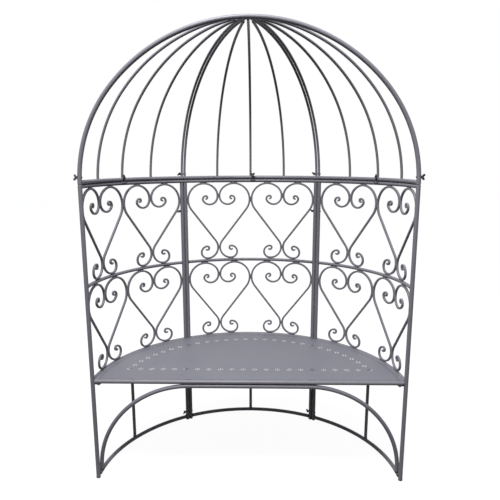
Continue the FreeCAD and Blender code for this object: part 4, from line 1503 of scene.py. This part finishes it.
    def build(self) -> None:
        """Set the bolts and nuts and soften the clamps."""
        nuts = []
        nut = self.wing_nut()
        for group in self.groups():
            length = group.grip + self.nut_set
            master = self.bolt(group.node + "_master", length, self.threads, self.head, self.head_rise)
            self.set_bolts(master, group.places, group.node)
            for place, angle in zip(group.places, group.turns):
                nuts.append(copy_to(nut, place @ shift(z=group.grip + self.face) @ turn(angle)))
        self.dresser.dress(join(nuts, "wing_nuts_cast"), Slot.FASTENER, "wing_nuts")
        remove(nut)
        master = self.bolt("seat_bolt_master", self.seat_bolt_length, 0, self.seat_head, self.seat_head_rise)
        self.set_bolts(master, self.seat_bolt_places(), "seat_bolts")
        self.dresser.soften("rail_clamps", "rail_clamp_tabs_and_plates")


# Studio


@dataclass
class Studio:
    """Floor, lamp, world and camera."""

    shape: HalfRound
    floor_size: float = 40.0
    floor_in_light: str = "262626"
    floor_in_view: str = "5A5A5A"
    floor_glow: float = 0.955
    sky: str = "EEF0F6"
    sky_foot: float = 0.1
    sky_strength: float = 0.7
    lamp_size: float = 1.4
    lamp_watts: float = 260.0
    lamp_place: Vector = field(default_factory=lambda: Vector((-0.5, -1.5, 4.6)))
    lamp_aim: Vector = field(default_factory=lambda: Vector((0.0, 0.3, 0.9)))
    camera_place: Vector = field(default_factory=lambda: Vector((41.8, -2257.4, 1447.5)) * MM)
    yaw_rad: float = -0.0198
    pitch_rad: float = -0.2069
    roll_rad: float = -0.0018
    focal_px: float = 542.02
    centre_px: Pair = (247.58, 274.14)
    photo_px: float = 500.0
    sensor_mm: float = 36.0

    def camera(self) -> None:
        """Put the camera where the photographer stood."""
        data = bpy.data.cameras.new("camera")
        data.sensor_width = self.sensor_mm
        data.lens = self.sensor_mm * self.focal_px / self.photo_px
        data.shift_x = (self.photo_px / 2 - self.centre_px[0]) / self.photo_px
        data.shift_y = (self.centre_px[1] - self.photo_px / 2) / self.photo_px
        camera = bpy.data.objects.new("camera", data)
        bpy.context.scene.collection.objects.link(camera)
        yaw, pitch = self.yaw_rad, self.pitch_rad
        level = math.cos(pitch)
        ahead = Vector((math.sin(yaw) * level, math.cos(yaw) * level, math.sin(pitch)))
        right = Vector((math.cos(yaw), -math.sin(yaw), 0))
        tilt = Matrix.Rotation(self.roll_rad, 3, -ahead)
        axes = Matrix((tilt @ right, tilt @ right.cross(ahead), -ahead)).transposed().to_4x4()
        camera.matrix_world = Matrix.Translation(self.shape.at(*self.camera_place)) @ axes
        bpy.context.scene.camera = camera

    def show(self, tree: Tree, output: str, lit: Socket, seen: Socket) -> None:
        """Show one shader to the lens and in mirrors, and another to the rays that only carry light.

        Args:
            tree: Node tree of the floor or the world.
            output: Blender's type name of its output node.
            lit: Shader for the rays that carry light.
            seen: Shader for camera, glossy and transmission rays.
        """
        path = add_node(tree, "ShaderNodeLightPath").outputs
        total = path["Is Camera Ray"]
        for kind in ("Is Glossy Ray", "Is Transmission Ray"):
            larger = {"operation": "MAXIMUM", 0: total, 1: path[kind]}
            total = add_node(tree, "ShaderNodeMath", larger).outputs["Value"]
        choice = add_node(tree, "ShaderNodeMixShader", {0: total, 1: lit, 2: seen})
        add_node(tree, output, {"Surface": choice.outputs["Shader"]})

    def floor(self) -> None:
        """Lay a plain pale floor that the lens sees as white and that throws back little light."""
        deselect()
        bpy.ops.mesh.primitive_plane_add(size=self.floor_size)
        floor = bpy.context.object
        floor.name = "floor"
        material = bpy.data.materials.new("pale_floor")
        tree = fresh_tree(material)
        dull, pale = [
            add_node(tree, "ShaderNodeBsdfDiffuse", {"Color": linear(shade)}).outputs["BSDF"]
            for shade in (self.floor_in_light, self.floor_in_view)
        ]
        white = {"Color": (1, 1, 1, 1), "Strength": self.floor_glow}
        glow = add_node(tree, "ShaderNodeEmission", white).outputs["Emission"]
        bright = add_node(tree, "ShaderNodeAddShader", {0: pale, 1: glow}).outputs["Shader"]
        self.show(tree, "ShaderNodeOutputMaterial", dull, bright)
        floor.data.materials.append(material)
        floor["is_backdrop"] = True

    def world(self) -> None:
        """Give the sky a plain white for the lens and a soft grey for the light."""
        world = bpy.data.worlds.new("studio")
        bpy.context.scene.world = world
        world.cycles.sampling_method = "NONE"
        tree = fresh_tree(world)
        toward = add_node(tree, "ShaderNodeTexCoord").outputs["Generated"]
        height = add_node(tree, "ShaderNodeSeparateXYZ", {"Vector": toward}).outputs["Z"]
        rise = {"Value": height, "From Min": self.sky_foot, "To Max": self.sky_strength}
        strength = add_node(tree, "ShaderNodeMapRange", rise).outputs["Result"]
        soft, white = [
            add_node(tree, "ShaderNodeBackground", {"Color": colour, "Strength": power}).outputs["Background"]
            for colour, power in ((linear(self.sky), strength), ((1, 1, 1, 1), 1.0))
        ]
        self.show(tree, "ShaderNodeOutputWorld", soft, white)

    def lamp(self) -> None:
        """Hang one soft disk lamp high up in front."""
        data = bpy.data.lights.new("key", "AREA")
        data.shape = "DISK"
        data.size = self.lamp_size
        data.energy = self.lamp_watts
        lamp = bpy.data.objects.new("key", data)
        lamp.location = self.shape.at(*self.lamp_place)
        ahead = self.shape.at(*self.lamp_aim) - lamp.location
        lamp.rotation_euler = ahead.to_track_quat("-Z", "Y").to_euler()
        bpy.context.scene.collection.objects.link(lamp)

    def build(self) -> None:
        """Set the whole studio and its plain colour handling."""
        bpy.context.scene.view_settings.view_transform = "Standard"
        self.floor()
        self.world()
        self.lamp()
        self.camera()


def main() -> dict[str, list[list[float]]]:
    """Dress the arbour, set the studio and measure the model.

    Returns:
        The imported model's box and the dressed model's box.
    """
    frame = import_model()
    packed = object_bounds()
    shape = HalfRound()
    dresser = Dresser(frame)
    dresser.dress_nodes()
    for assembly in (Rails, Ribs, Scrolls, Posts, Bench, Brace, Caps, Fasteners):
        assembly(shape, dresser).build()
    Studio(shape).build()
    return {"cad": [list(corner) for corner in packed], "visual": [list(corner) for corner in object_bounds()]}


if __name__ == "__main__":
    logging.basicConfig(level=logging.INFO, format="%(message)s")
    sizes = main()
